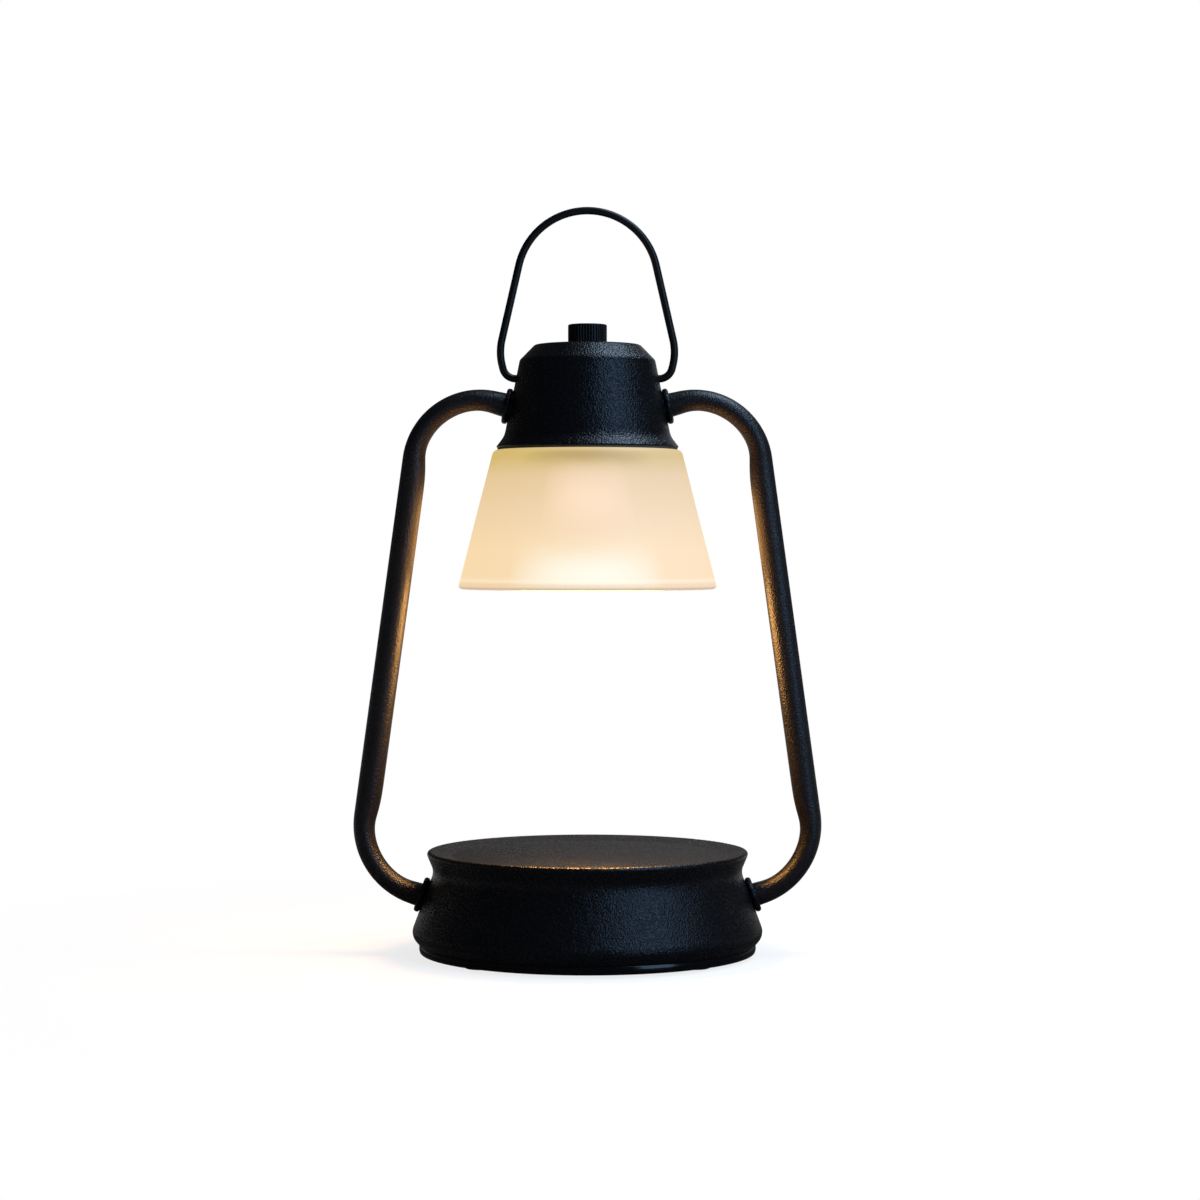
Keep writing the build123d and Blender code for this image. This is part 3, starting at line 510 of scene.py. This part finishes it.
def bulb_glass(name, glow, level):
    """Lit glass of the bulb: warm glow, hotter in the middle, with fine seeds in the glass."""
    heat_reach = 0.024
    glass = Finish(name, {"Base Color": (*glow, 1.0), "Emission Strength": level, "IOR": 1.48})
    heat = glass.span(glass.reach(), 0.0, heat_reach)
    seeds = glass.noise(scale=700.0)
    hot = toned(glow, 1.0, 1.42, 2.3)
    warm = toned(glow, 1.0, 1.2, 1.5)
    glass.set({
        "Emission Color": glass.ramp(heat, [(0.0, hot), (0.55, warm), (1.0, glow)]),
        "Roughness": glass.vary(seeds, 0.12, 0.22),
    })
    glass.bump(seeds, strength=0.08, depth=0.0002)
    return glass.material


def frosted_glass(name, tints, low, high):
    """Etched glass lit from inside: glow by height, changed where one looks straight through at the bulb,
    with an etched grain, a polished rim, and a warm passage for the bulb's light."""
    glass = Finish(name, {
        "Base Color": (*tints.glass, 1.0), "Specular IOR Level": 0.15, "Emission Strength": 1.0,
    })
    z = glass.axes()[2]
    grain = glass.noise(scale=1400.0)
    cloud = glass.noise(scale=38.0)
    plain = glass.span(z, low, high)
    cloud_drift = 0.012
    height = glass.maths("ADD", plain, glass.vary(cloud, -cloud_drift, cloud_drift))
    wall = glass.ramp(height, [
        (0.0, tints.glow_low), (0.28, tints.glow_low), (0.52, tints.glow_middle), (0.80, tints.glow_high),
        (0.94, tints.glow_top), (1.0, tints.glow_top),
    ])
    edge_on = glass.add("ShaderNodeLayerWeight", {"Blend": 0.5}).outputs["Facing"]
    square_on = 0.03
    # Painted glow of the bulb's face and neck seen through the glass, then painted shade of the lamp holder
    # behind it: each with its glow, its height, its spread over height, its share of the mix, and how far
    # from square on it ends
    behind = (
        (tints.glow_hot, 0.11, 0.17, 1.0, 0.24),
        (tints.glow_neck, 0.64, 0.20, 0.9, 0.13),
        (tints.glow_holder_shade, 0.95, 0.06, 0.9, 0.30),
    )
    for tint, level, spread, share, turn in behind:
        through = glass.span(edge_on, square_on, turn, 1.0, 0.0)
        away = glass.maths("DIVIDE", glass.maths("SUBTRACT", height, level), spread)
        near = glass.maths("EXPONENT", glass.maths("MULTIPLY", glass.maths("POWER", away, 2.0), -1.0))
        amount = glass.maths("MULTIPLY", glass.maths("MULTIPLY", near, through), share)
        wall = glass.blend(amount, wall, (*tint, 1.0))
    # Painted bright line above the rim, the rim's glow, and a painted shade along its lowest edge, by shares
    # of the shade's height
    highlight_line_share, rim_share, edge_shade_share = 0.3, 0.6, 0.6
    rim = glass.span(plain, 0.035, 0.055, 1.0, 0.0)
    line = glass.maths("MULTIPLY", glass.span(plain, 0.05, 0.06), glass.span(plain, 0.07, 0.09, 1.0, 0.0))
    edge = glass.span(plain, 0.013, 0.026, edge_shade_share, 0.0)
    wall = glass.blend(glass.maths("MULTIPLY", line, highlight_line_share), wall, (*tints.glow_hot, 1.0))
    wall = glass.blend(glass.maths("MULTIPLY", rim, rim_share), wall, (*tints.glow_rim, 1.0))
    wall = glass.blend(edge, wall, (*tints.rim_edge_shade, 1.0))
    glass.set({"Emission Color": wall, "Roughness": glass.vary(grain, 0.42, 0.58)})
    glass.bump(grain, strength=0.10, depth=0.0002)
    passing = glass.add("ShaderNodeBsdfTransparent", {"Color": (*tints.glass_passage, 1.0)})
    shadow = glass.add("ShaderNodeLightPath").outputs["Is Shadow Ray"]
    mixed = glass.add(
        "ShaderNodeMixShader", {0: shadow, 1: glass.shader.outputs["BSDF"], 2: passing.outputs["BSDF"]}
    )
    glass.fill(glass.output, {"Surface": mixed.outputs["Shader"]})
    return glass.material


def unit(vector):
    """The vector at length one."""
    return vector / np.linalg.norm(vector)


def corner_arc(before, corner, after, radius, step):
    """Arc that rounds a corner: it starts radius*tan(turn/2) before it, and is tangent to both runs."""
    way_in = unit(corner - before)
    way_out = unit(after - corner)
    turn = math.acos(float(np.clip(way_in @ way_out, -1.0, 1.0)))
    side = unit(way_out - way_in * (way_in @ way_out))
    start = corner - way_in * radius * math.tan(turn / 2)
    points = max(fewest_on_arc, math.ceil(radius * turn / step) + 1)
    angle = np.linspace(0.0, turn, points)[:, None]
    return start + side * radius * (1 - np.cos(angle)) + way_in * radius * np.sin(angle)


def bent_line(corners, rounds, step, closed=False):
    """Straight runs joined by tangent arcs, as points and a mark of 1 on the arcs and 0 on the runs."""
    corners = np.asarray(corners, float)
    total = len(corners)
    inner = range(total) if closed else range(1, total - 1)
    arcs = [corner_arc(corners[i - 1], corners[i], corners[(i + 1) % total], rounds[i], step) for i in inner]
    stops = arcs if closed else [corners[:1], *arcs, corners[-1:]]
    points, marks = [], []
    for i, stop in enumerate(stops):
        points.append(stop)
        marks.append(np.full(len(stop), float(len(stop) > 1)))
        if closed or i + 1 < len(stops):
            start, end = stop[-1], stops[(i + 1) % len(stops)][0]
            across = max(fewest_on_run, math.ceil(np.linalg.norm(end - start) / step) + 1)
            share = np.linspace(0.0, 1.0, across)[1:-1, None]
            points.append(start + (end - start) * share)
            marks.append(np.zeros(len(share)))
    return np.concatenate(points), np.concatenate(marks)


def stations(line):
    """How far along a line each of its points lies."""
    return np.concatenate([[0.0], np.cumsum(np.linalg.norm(np.diff(line, axis=0), axis=1))])


def angles_round(columns):
    """Even angles once round."""
    return np.linspace(0.0, 2 * math.pi, columns, endpoint=False)


def swept(line, reach, flank):
    """Rings along a line of (x, z): each ring's points stand off by reach along the line's normal, which is
    its direction by central differences turned by a right angle, and by flank in y."""
    way = np.gradient(line, axis=0)
    way /= np.linalg.norm(way, axis=1, keepdims=True)
    x = line[:, :1] - way[:, 1:] * reach
    z = line[:, 1:] + way[:, :1] * reach
    return np.stack([x, flank, z], axis=-1)


def turned(profile, columns):
    """Rings of a turned shape: each profile point (r, z) goes round the Z axis as (r cos t, r sin t, z)."""
    angle = angles_round(columns)
    radius, height = profile[:, :1], profile[:, 1:]
    return np.stack([radius * np.cos(angle), radius * np.sin(angle), height + 0 * angle], axis=-1)


def skin(name, rings, closed=False, poles=None):
    """Mesh over a grid of rings, shape (rows, columns, 3), with its faces pointing outwards. Columns always
    join up; rows join up when closed, and otherwise each end is closed by a fan to a pole, by default the end
    ring's middle."""
    rows, columns, _ = rings.shape
    index = np.arange(rows * columns).reshape(rows, columns)
    following = np.roll(index, -1, axis=1)
    upper = index if closed else index[:-1]
    lower = np.roll(index, -1, axis=0) if closed else index[1:]
    along_upper = following if closed else following[:-1]
    along_lower = np.roll(following, -1, axis=0) if closed else following[1:]
    quads = np.stack([upper, along_upper, along_lower, lower], axis=-1).reshape(-1, 4)
    points = rings.reshape(-1, 3)
    fans = np.zeros((0, 3), int)
    if not closed:
        ends = poles if poles is not None else (rings[0].mean(0), rings[-1].mean(0))
        first = np.full(columns, len(points))
        fans = np.concatenate([
            np.stack([following[0], index[0], first], axis=-1),
            np.stack([index[-1], following[-1], first + 1], axis=-1),
        ])
        points = np.concatenate([points, np.asarray(ends, float).reshape(2, 3)])
    halves = np.concatenate([quads[:, [0, 1, 2]], quads[:, [0, 2, 3]], fans])
    a, b, c = points[halves[:, 0]], points[halves[:, 1]], points[halves[:, 2]]
    if np.einsum("ij,ij->i", a, np.cross(b, c)).sum() < 0:
        quads, fans = quads[:, ::-1], fans[:, ::-1]
    mesh = bpy.data.meshes.new(name)
    mesh.from_pydata(points.tolist(), [], quads.tolist() + fans.tolist())
    mesh.polygons.foreach_set("use_smooth", np.ones(len(mesh.polygons), bool))
    mesh.update()
    piece = bpy.data.objects.new(name, mesh)
    bpy.context.scene.collection.objects.link(piece)
    return piece


def finish_piece(piece, body, slot, material, *nodes):
    """Give a piece its finish and its body, and hide the frame nodes that it stands for. The slot is not
    used.
    """
    piece.data.materials.append(material)
    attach(piece, body)
    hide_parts(*nodes)


def dress(node, material):
    """Put a finish on a frame node."""
    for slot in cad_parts[node].material_slots:
        slot.material = material


class LANTERN_OT_arms(bpy.types.Operator):
    """Bent tubes, drawn in where they bend"""

    bl_idname = "lantern.arms"
    bl_label = "Bent arms"

    def execute(self, context):
        tints = context.scene.lantern_finishes
        # The arms get the lighter, lit copy of the powder coat (painted light), so that the bulb's glow
        # spreads broad on them
        material = powder_coat(
            "arm_coat_lit_copy", tints.arm_coat_lit_copy, shade_of(tints.arm_coat_lit_copy, 1.6), tints.arm_sheen,
            gloss=0.17, dullness=0.35, relief=0.55,
        )
        rings = self.rings(context.scene.lantern_sizes)
        for name, side in (("right_tube", 1.0), ("left_tube", -1.0)):
            piece = skin(name, rings * (side, 1.0, 1.0))
            finish_piece(piece, "lantern", "black_coat", material, name.replace("tube", "arm"))
        return {"FINISHED"}

    def rings(self, sizes):
        """Section n*(shift + a cos t) + y*b sin t along the middle line; where the tube bends by a share w,
        a = R - w*pinch/2, shift = w*pinch/2 and b = R + w*swell, so the bend's outer side keeps its line."""
        corners = [sizes.upper_seat, sizes.upper_corner, sizes.lower_corner, sizes.lower_seat]
        line, mark = bent_line(corners, [0.0, sizes.upper_bend, sizes.lower_bend, 0.0], arm_step)
        steps = np.linalg.norm(np.gradient(line, axis=0), axis=1)
        station = stations(line)
        apart = (station[:, None] - station[None, :]) / sizes.tube_blend
        near = np.exp(-(apart**2)) * steps[None, :]
        bend = (near @ mark / near.sum(1))[:, None]
        angle = angles_round(arm_columns)
        shift = bend * sizes.tube_pinch / 2
        reach = shift + (sizes.tube_radius - shift) * np.cos(angle)
        flank = (sizes.tube_radius + bend * sizes.tube_swell) * np.sin(angle)
        return swept(line, reach, flank)


class LANTERN_OT_shade(bpy.types.Operator):
    """Frosted glass shade"""

    bl_idname = "lantern.shade"
    bl_label = "Glass shade"

    def execute(self, context):
        piece = skin("frosted_shade", self.rings(context.scene.lantern_sizes), closed=True)
        tints = context.scene.lantern_finishes
        material = frosted_glass("etched_glass", tints, shade_low.z, shade_high.z)
        finish_piece(piece, "lantern", "frosted_glass", material, "glass_shade")
        return {"FINISHED"}

    def rings(self, sizes):
        """Turned wall between an outer cone and the same cone moved in by the glass, with a flat top and a
        round rim. Slow waves of height A*cos(lobes*t + slant*z)*sin(climb*z) run over the cone and die out at
        both ends."""
        top, mouth = shade_high.z, shade_high.z - sizes.shade_height
        lean = math.atan2(sizes.shade_mouth - sizes.shade_top, sizes.shade_height)
        under = top - sizes.shade_glass
        inner_top = sizes.shade_top + sizes.shade_glass * (math.tan(lean) - 1 / math.cos(lean))
        inner_mouth = sizes.shade_mouth - sizes.shade_glass * math.cos(lean)
        corners = [
            (sizes.shade_hole, top), (sizes.shade_top, top), (sizes.shade_mouth, mouth),
            (inner_mouth, mouth - sizes.shade_glass * math.sin(lean)), (inner_top, under),
            (sizes.shade_hole, under),
        ]
        rounds = [
            sizes.shade_edge, sizes.shade_shoulder, sizes.shade_rim, sizes.shade_rim, sizes.shade_inner,
            sizes.shade_edge,
        ]
        profile, _ = bent_line(corners, rounds, shade_step, closed=True)
        rings = turned(profile, shade_columns)
        angle = np.arctan2(rings[..., 1], rings[..., 0])
        z = rings[..., 2]
        radius = np.hypot(rings[..., 0], rings[..., 1])
        up = np.clip((z - mouth) / sizes.shade_height, 0.0, 1.0)
        on_cone = np.clip((radius - sizes.shade_top) / sizes.wave_fade + 0.5, 0.0, 1.0)
        fade = np.sin(math.pi * up) ** 2 * on_cone
        round_about = np.cos(sizes.wave_lobes * angle + sizes.wave_slant * z)
        wave = sizes.shade_wave * fade * round_about * np.sin(sizes.wave_climb * z)
        rings[..., :2] *= (1 + wave / radius)[..., None]
        return rings


class LANTERN_OT_handle(bpy.types.Operator):
    """Wire handle"""

    bl_idname = "lantern.handle"
    bl_label = "Wire handle"

    def execute(self, context):
        piece = skin("bail_wire", self.rings(context.scene.lantern_sizes))
        material = satin_paint("wire_paint", context.scene.lantern_finishes.wire)
        finish_piece(piece, "handle", "black_wire", material, "handle")
        return {"FINISHED"}

    def rings(self, sizes):
        """Round section r*(n cos t + y sin t) along the wire's middle line, with r falling as a quarter
        ellipse to the end face's radius over the last stretch at each end."""
        lean = math.radians(sizes.wire_lean)
        knee = sizes.wire_pivot + sizes.wire_knee_rise
        apex = knee + sizes.wire_knee / math.tan(lean)
        crown = handle_high.z - sizes.wire_radius
        crown_bend = (apex - crown) / (1 / math.sin(lean) - 1)
        half = [
            (sizes.wire_end, sizes.wire_pivot), (sizes.wire_foot, sizes.wire_pivot), (sizes.wire_knee, knee),
        ]
        corners = half + [(0.0, apex)] + [(-x, z) for x, z in half[::-1]]
        bends = [0.0, sizes.wire_foot_bend, sizes.wire_knee_bend, crown_bend]
        line, _ = bent_line(corners, bends + bends[2::-1], wire_step)
        station = stations(line)
        end = np.minimum(station, station[-1] - station)
        fade = np.sqrt(1 - (1 - np.clip(end / sizes.wire_end_round, 0.0, 1.0)) ** 2)
        share = sizes.wire_end_share + (1 - sizes.wire_end_share) * fade
        radius = sizes.wire_radius * share[:, None]
        angle = angles_round(wire_columns)
        return swept(line, radius * np.cos(angle), radius * np.sin(angle))


class LANTERN_OT_knob(bpy.types.Operator):
    """Fluted dimmer knob"""

    bl_idname = "lantern.knob"
    bl_label = "Dimmer knob"

    def execute(self, context):
        sizes = context.scene.lantern_sizes
        dish = knob_high.z - sizes.knob_dish
        recess = knob_low.z + sizes.knob_recess
        bore_end = recess + sizes.knob_bore_depth
        poles = ((0.0, 0.0, dish), (0.0, 0.0, bore_end))
        piece = skin("fluted_knob", self.rings(sizes, dish, recess, bore_end), poles=poles)
        tint = context.scene.lantern_finishes.knob
        material = moulded("knob_moulding", tint, roughness=0.26, relief=0.05, gloss=0.09)
        finish_piece(piece, "knob", "knob_black", material, "knob")
        return {"FINISHED"}

    def rings(self, sizes, dish, recess, bore_end):
        """Turned profile whose side is r(t) = R - d*(1 - |sin(N t/2)|)**2 with N flutes, faded out where the
        top edge rounds over, then under the rim, up the recess and up the bore."""
        side, top, bottom = sizes.knob_radius, knob_high.z, knob_low.z
        rim = side - sizes.knob_rim
        skirt = side - sizes.knob_wall
        corners = [
            (pole_radius, dish), (rim - sizes.knob_slope, dish), (rim, top), (side, top), (side, bottom),
            (skirt, bottom), (skirt, recess), (sizes.knob_bore, recess), (sizes.knob_bore, bore_end),
            (pole_radius, bore_end),
        ]
        crease = sizes.knob_crease
        rounds = [0, 3 * crease, 2 * crease, sizes.knob_edge, crease, crease, 2 * crease, crease, crease, 0]
        profile, _ = bent_line(corners, rounds, knob_step)
        rings = turned(profile, sizes.knob_flutes * columns_per_flute)
        angle = angles_round(rings.shape[1])
        radius, height = profile[:, :1], profile[:, 1:]
        on_side = np.clip((radius - side + sizes.flute_reach) / sizes.flute_fade, 0.0, 1.0)
        below_edge = np.clip((top - height) / sizes.knob_edge, 0.0, 1.0)
        flute = sizes.knob_flute * (1 - np.abs(np.sin(angle * sizes.knob_flutes / 2))) ** 2
        rings[..., :2] *= (1 - on_side * below_edge * flute / radius)[..., None]
        return rings


class LANTERN_OT_bulb(bpy.types.Operator):
    """Bulb with its pebbled front glass"""

    bl_idname = "lantern.bulb"
    bl_label = "Bulb"

    def execute(self, context):
        sizes = context.scene.lantern_sizes
        tints = context.scene.lantern_finishes
        poles = ((0.0, 0.0, lens_high.z), (0.0, 0.0, lens_low.z - sizes.lens_dome))
        piece = skin("front_glass", self.rings(sizes), poles=poles)
        lit_lens = bulb_glass("lit_lens", tints.lamp, tints.lens_level)
        finish_piece(piece, "bulb", "lens_glass", lit_lens, "bulb_lens")
        mirror = metal("mirror_coat", tints.mirror, roughness=0.14, brush=(1.0, 1.0, 6.0), relief=0.03)
        dress("bulb_capsule", bulb_glass("lit_capsule", tints.lamp, tints.capsule_level))
        dress("bulb_reflector", mirror)
        dress("bulb_base", lamp_ceramic("bulb_ceramic", tints.ceramic))
        dress("bulb_pins", metal("pin_brass", tints.brass, roughness=0.3, brush=(1.0, 1.0, 5.0)))
        return {"FINISHED"}

    def rings(self, sizes):
        """Disc whose underside bulges by D*(1 - (r/R)**2) and carries pebbles of height P*cos(kx)*cos(ky)."""
        steps = np.linspace(lens_first_ring, lens_last_ring, lens_rings)
        radius = sizes.lens_radius * np.concatenate([steps, [1.0, 1.0], steps[::-1]])
        flat = len(steps) + 1
        height = np.full(len(radius), lens_high.z)
        height[flat:] = lens_low.z
        rings = turned(np.stack([radius, height], axis=1), lens_columns)
        wave = 2 * math.pi / sizes.lens_pitch
        pebble = np.cos(wave * rings[..., 0]) * np.cos(wave * rings[..., 1])
        share = np.clip(np.hypot(rings[..., 0], rings[..., 1]) / sizes.lens_radius, 0.0, 1.0)
        fade = np.clip((sizes.pebble_reach - share) / sizes.pebble_fade, 0.0, 1.0)
        fall = sizes.lens_dome * (1 - share**2) + sizes.lens_pebble * pebble * fade
        rings[flat + 1:, :, 2] -= fall[flat + 1:]
        return rings


class LANTERN_OT_shells(bpy.types.Operator):
    """Finishes of the base, the housing and what shows on them"""

    bl_idname = "lantern.shells"
    bl_label = "Base and housing"

    def execute(self, context):
        tints = context.scene.lantern_finishes
        collar_coat = self.coat(tints, "collar_coat")
        dress("upper_collars", collar_coat)
        dress("lower_collars", collar_coat)
        tray_bands = self.bands("base_shell", (0.90, 0.955, 0.02))
        dress("base_shell", self.coat(tints, "base_coat", tray_bands))
        edge_bands = self.bands("top_housing", (-0.05, 0.14, -0.04), (0.84, 1.05, -0.04))
        dress("top_housing", self.coat(tints, "housing_coat", edge_bands))
        dress("bottom_cover", moulded("cover_moulding", tints.cover, roughness=0.15, relief=0.03, gloss=0.16))
        dress("foot_pads", rubbery("pad_rubber", tints.rubber))
        dress("cord_gland", rubbery("gland_rubber", tints.rubber))
        dress("shade_gasket", rubbery("gasket_silicone", tints.silicone))
        dress("shade_ring", metal("ring_aluminium", tints.aluminium, roughness=0.3, brush=(1.0, 1.0, 8.0)))
        return {"FINISHED"}

    def coat(self, tints, name, bands=()):
        """The powder coat of the base, the housing and the collars."""
        return powder_coat(
            name, tints.coat, tints.coat_speck, tints.coat_sheen, gloss=0.13, dullness=0.25, relief=0.7,
            bands=bands,
        )

    def bands(self, node, *bands):
        """Bands of height from bands (start, end, change) in shares of a node's height."""
        low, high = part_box(node)
        tall = high.z - low.z
        return [(low.z + start * tall, low.z + end * tall, change) for start, end, change in bands]


class LANTERN_OT_inner(bpy.types.Operator):
    """Finishes of the pieces inside the base and the housing"""

    bl_idname = "lantern.inner"
    bl_label = "Inner pieces"

    def execute(self, context):
        tints = context.scene.lantern_finishes
        steel = metal("zinc_steel", tints.steel, roughness=0.36, brush=(1.0, 6.0, 1.0))
        for node in (
            "cover_screws", "terminal_screws", "arm_washers", "arm_bolts", "holder_strap", "holder_screws",
            "strap_screws", "dimmer_can", "dimmer_shaft", "dimmer_nut", "dimmer_washer",
        ):
            dress(node, steel)
        dress("ballast", cast_iron("ballast_iron", tints.iron))
        dress("terminal_block", moulded("block_moulding", tints.plastic, roughness=0.45))
        dress("lamp_holder", lamp_ceramic("holder_ceramic", tints.ceramic))
        dress("holder_contacts", metal("contact_brass", tints.brass, roughness=0.3, brush=(5.0, 1.0, 1.0)))
        board = circuit_board("board_laminate", tints.board, shade_of(tints.brass, 0.9))
        dress("dimmer_board", board)
        dress("dimmer_track", board)
        dress("dimmer_parts", moulded("component_moulding", tints.component, roughness=0.35))
        live = moulded("live_sleeve", tints.live, roughness=0.5, relief=0.1)
        dress("live_wire", live)
        dress("lamp_wire", live)
        dress("neutral_wire", moulded("neutral_sleeve", tints.neutral, roughness=0.5, relief=0.1))
        return {"FINISHED"}


class LANTERN_OT_stage(bpy.types.Operator):
    """Floor, light and camera"""

    bl_idname = "lantern.stage"
    bl_label = "Studio"

    def execute(self, context):
        stage = context.scene.lantern_stage
        self.floor(stage)
        self.sky(context.scene, stage)
        aim = Vector((0.0, 0.0, stage.aim_height))
        for name, way, size, power, tint in (
            ("key_box", stage.key_way, stage.key_size, stage.key_power, stage.key_tint),
            ("top_box", stage.top_way, stage.top_size, stage.top_power, stage.top_tint),
            ("back_box", stage.back_way, stage.back_size, stage.back_power, stage.back_tint),
        ):
            back = Vector(way).normalized()
            self.soft_box(name, aim + back * stage.box_distance, -back, size, power, tint)
        tint = context.scene.lantern_finishes.lamp
        self.lamp(stage, tint)
        for name, side in (("right_glow", 1.0), ("left_glow", -1.0)):
            self.glow(name, context.scene.lantern_sizes, stage, side, tint)
        self.camera(context.scene, stage)
        context.scene.view_settings.view_transform = "Standard"
        return {"FINISHED"}

    def floor(self, stage):
        """Square sheet just under z = 0, pale near the lantern so that it shows its shadow, white further
        out, and open to a look from below. Gloss shows it with a painted shadow, darker beside the lantern."""
        corners = stage.floor_reach * np.array([(-1, -1), (1, -1), (1, 1), (-1, 1)], float)
        mesh = bpy.data.meshes.new("floor")
        points = np.column_stack([corners, np.full(len(corners), -stage.floor_gap)])
        mesh.from_pydata(points.tolist(), [], [(0, 1, 2, 3)])
        piece = bpy.data.objects.new("floor", mesh)
        bpy.context.scene.collection.objects.link(piece)
        paper = Finish("pale_paper", {
            "Base Color": (*stage.paper, 1.0), "Roughness": 0.9, "Specular IOR Level": 0.1,
        })
        reach = paper.reach()
        far = paper.span(reach, stage.shadow_start, stage.shadow_reach, stage.floor_near, 1.0)
        # Painted shadow that gloss shows on the floor: darker beside the lantern, lighter further out
        mirrored = paper.span(
            reach, stage.shadow_start, stage.mirror_reach, stage.mirror_shadow_level, stage.mirror_far
        )
        path = paper.add("ShaderNodeLightPath").outputs
        seen = paper.maths("MAXIMUM", path["Is Camera Ray"], path["Is Transmission Ray"])
        white = paper.add("ShaderNodeEmission", {"Strength": paper.maths("MAXIMUM", seen, mirrored)})
        mixed = paper.add("ShaderNodeMixShader", {
            0: paper.maths("MAXIMUM", paper.maths("MULTIPLY", far, seen), path["Is Glossy Ray"]),
            1: paper.shader.outputs["BSDF"], 2: white.outputs["Emission"],
        })
        below = paper.add("ShaderNodeNewGeometry").outputs["Backfacing"]
        open_below = paper.add("ShaderNodeMixShader", {
            0: paper.maths("MULTIPLY", below, path["Is Camera Ray"]), 1: mixed.outputs["Shader"],
            2: paper.add("ShaderNodeBsdfTransparent").outputs["BSDF"],
        })
        paper.fill(paper.output, {"Surface": open_below.outputs["Shader"]})
        mesh.materials.append(paper.material)

    def sky(self, scene, stage):
        """Even dim light all round, seen as white. Gloss shows the white towards the top box, and the dim
        room away from it."""
        world = bpy.data.worlds.new("studio_sky")
        scene.world = world
        world.use_nodes = True
        nodes = Nodes(world.node_tree)
        path = nodes.add("ShaderNodeLightPath").outputs
        way = nodes.add("ShaderNodeTexCoord").outputs["Generated"]
        lit_way = Vector(stage.top_way).normalized()
        towards = nodes.add("ShaderNodeVectorMath", {0: way, 1: lit_way}, operation="DOT_PRODUCT")
        mirrored = nodes.span(
            towards.outputs["Value"], stage.lit_edge, 1.0, stage.room_level, 1.0,
            interpolation_type="SMOOTHSTEP",
        )
        level = stage.sky_level
        for ray, strength in (
            ("Is Glossy Ray", mirrored), ("Is Transmission Ray", 1.0), ("Is Camera Ray", 1.0),
        ):
            level = nodes.add("ShaderNodeMix", {0: path[ray], 2: level, 3: strength}).outputs[0]
        back = world.node_tree.nodes["Background"]
        nodes.fill(back, {"Color": (1.0, 1.0, 1.0, 1.0), "Strength": level})

    def soft_box(self, name, place, way, size, power, tint):
        """Rectangular light at a place, shining along a direction."""
        light = bpy.data.lights.new(name, "AREA")
        light.shape = "RECTANGLE"
        light.size, light.size_y = size
        light.energy = power
        light.color = tint
        holder = bpy.data.objects.new(name, light)
        holder.location = place
        holder.rotation_euler = way.to_track_quat("-Z", "Y").to_euler()
        bpy.context.scene.collection.objects.link(holder)
        return holder

    def glow(self, name, sizes, stage, side, tint):
        """Light that the glowing glass throws on the arm beside it: a small sheet on the wall that faces
        outwards."""
        tall = shade_high.z - shade_low.z
        lean = math.atan2(sizes.shade_mouth - sizes.shade_top, tall)
        outward = Vector((side * math.cos(lean), 0.0, math.sin(lean)))
        reach = sizes.shade_mouth + (sizes.shade_top - sizes.shade_mouth) * stage.glow_share
        wall = Vector((side * reach, 0.0, shade_low.z + tall * stage.glow_share))
        place = wall + outward * stage.glow_gap
        sheet = self.soft_box(name, place, outward, stage.glow_size, stage.glow_power, tint)
        sheet.visible_camera = False

    def lamp(self, stage, tint):
        """The bulb's own light, below its front glass."""
        light = bpy.data.lights.new("bulb_light", "POINT")
        light.energy = stage.lamp_power
        light.color = tint
        light.shadow_soft_size = stage.lamp_spread
        holder = bpy.data.objects.new("bulb_light", light)
        holder.location = (0.0, 0.0, lens_low.z - stage.lamp_drop)
        bpy.context.scene.collection.objects.link(holder)

    def camera(self, scene, stage):
        """Camera in front of the lantern, tilted down and turned a little to the right."""
        data = bpy.data.cameras.new("front_camera")
        data.lens = stage.camera_lens
        data.sensor_width = stage.camera_sensor
        holder = bpy.data.objects.new("front_camera", data)
        holder.location = (0.0, -stage.camera_distance, stage.camera_height)
        tilt, turn = math.radians(stage.camera_tilt), math.radians(stage.camera_turn)
        holder.rotation_euler = (math.pi / 2 - tilt, 0.0, -turn)
        scene.collection.objects.link(holder)
        scene.camera = holder


operators = (
    LANTERN_OT_arms, LANTERN_OT_shade, LANTERN_OT_handle, LANTERN_OT_knob, LANTERN_OT_bulb, LANTERN_OT_shells,
    LANTERN_OT_inner, LANTERN_OT_stage,
)
groups = {"lantern_sizes": LanternSizes, "lantern_finishes": LanternFinishes, "lantern_stage": LanternStage}


class LANTERN_PT_sidebar(bpy.types.Panel):
    """Lists the lantern's pieces"""

    bl_idname = "LANTERN_PT_sidebar"
    bl_label = "Lantern"
    bl_space_type = "VIEW_3D"
    bl_region_type = "UI"
    bl_category = "Lantern"

    def draw(self, context):
        for operator in operators:
            self.layout.operator(operator.bl_idname)
        for name, group in groups.items():
            box = self.layout.box()
            for key in group.__annotations__:
                box.prop(getattr(context.scene, name), key)


def register():
    for kind in (*groups.values(), *operators, LANTERN_PT_sidebar):
        bpy.utils.register_class(kind)
    for name, group in groups.items():
        setattr(bpy.types.Scene, name, PointerProperty(type=group))


def unregister():
    for name in groups:
        delattr(bpy.types.Scene, name)
    for kind in (LANTERN_PT_sidebar, *reversed(operators), *reversed(groups.values())):
        bpy.utils.unregister_class(kind)


def main():
    register()
    bpy.ops.lantern.arms()
    bpy.ops.lantern.shade()
    bpy.ops.lantern.handle()
    bpy.ops.lantern.knob()
    bpy.ops.lantern.bulb()
    bpy.ops.lantern.shells()
    bpy.ops.lantern.inner()
    bpy.ops.lantern.stage()
    bpy.context.view_layer.update()


if __name__ == "__main__":
    main()
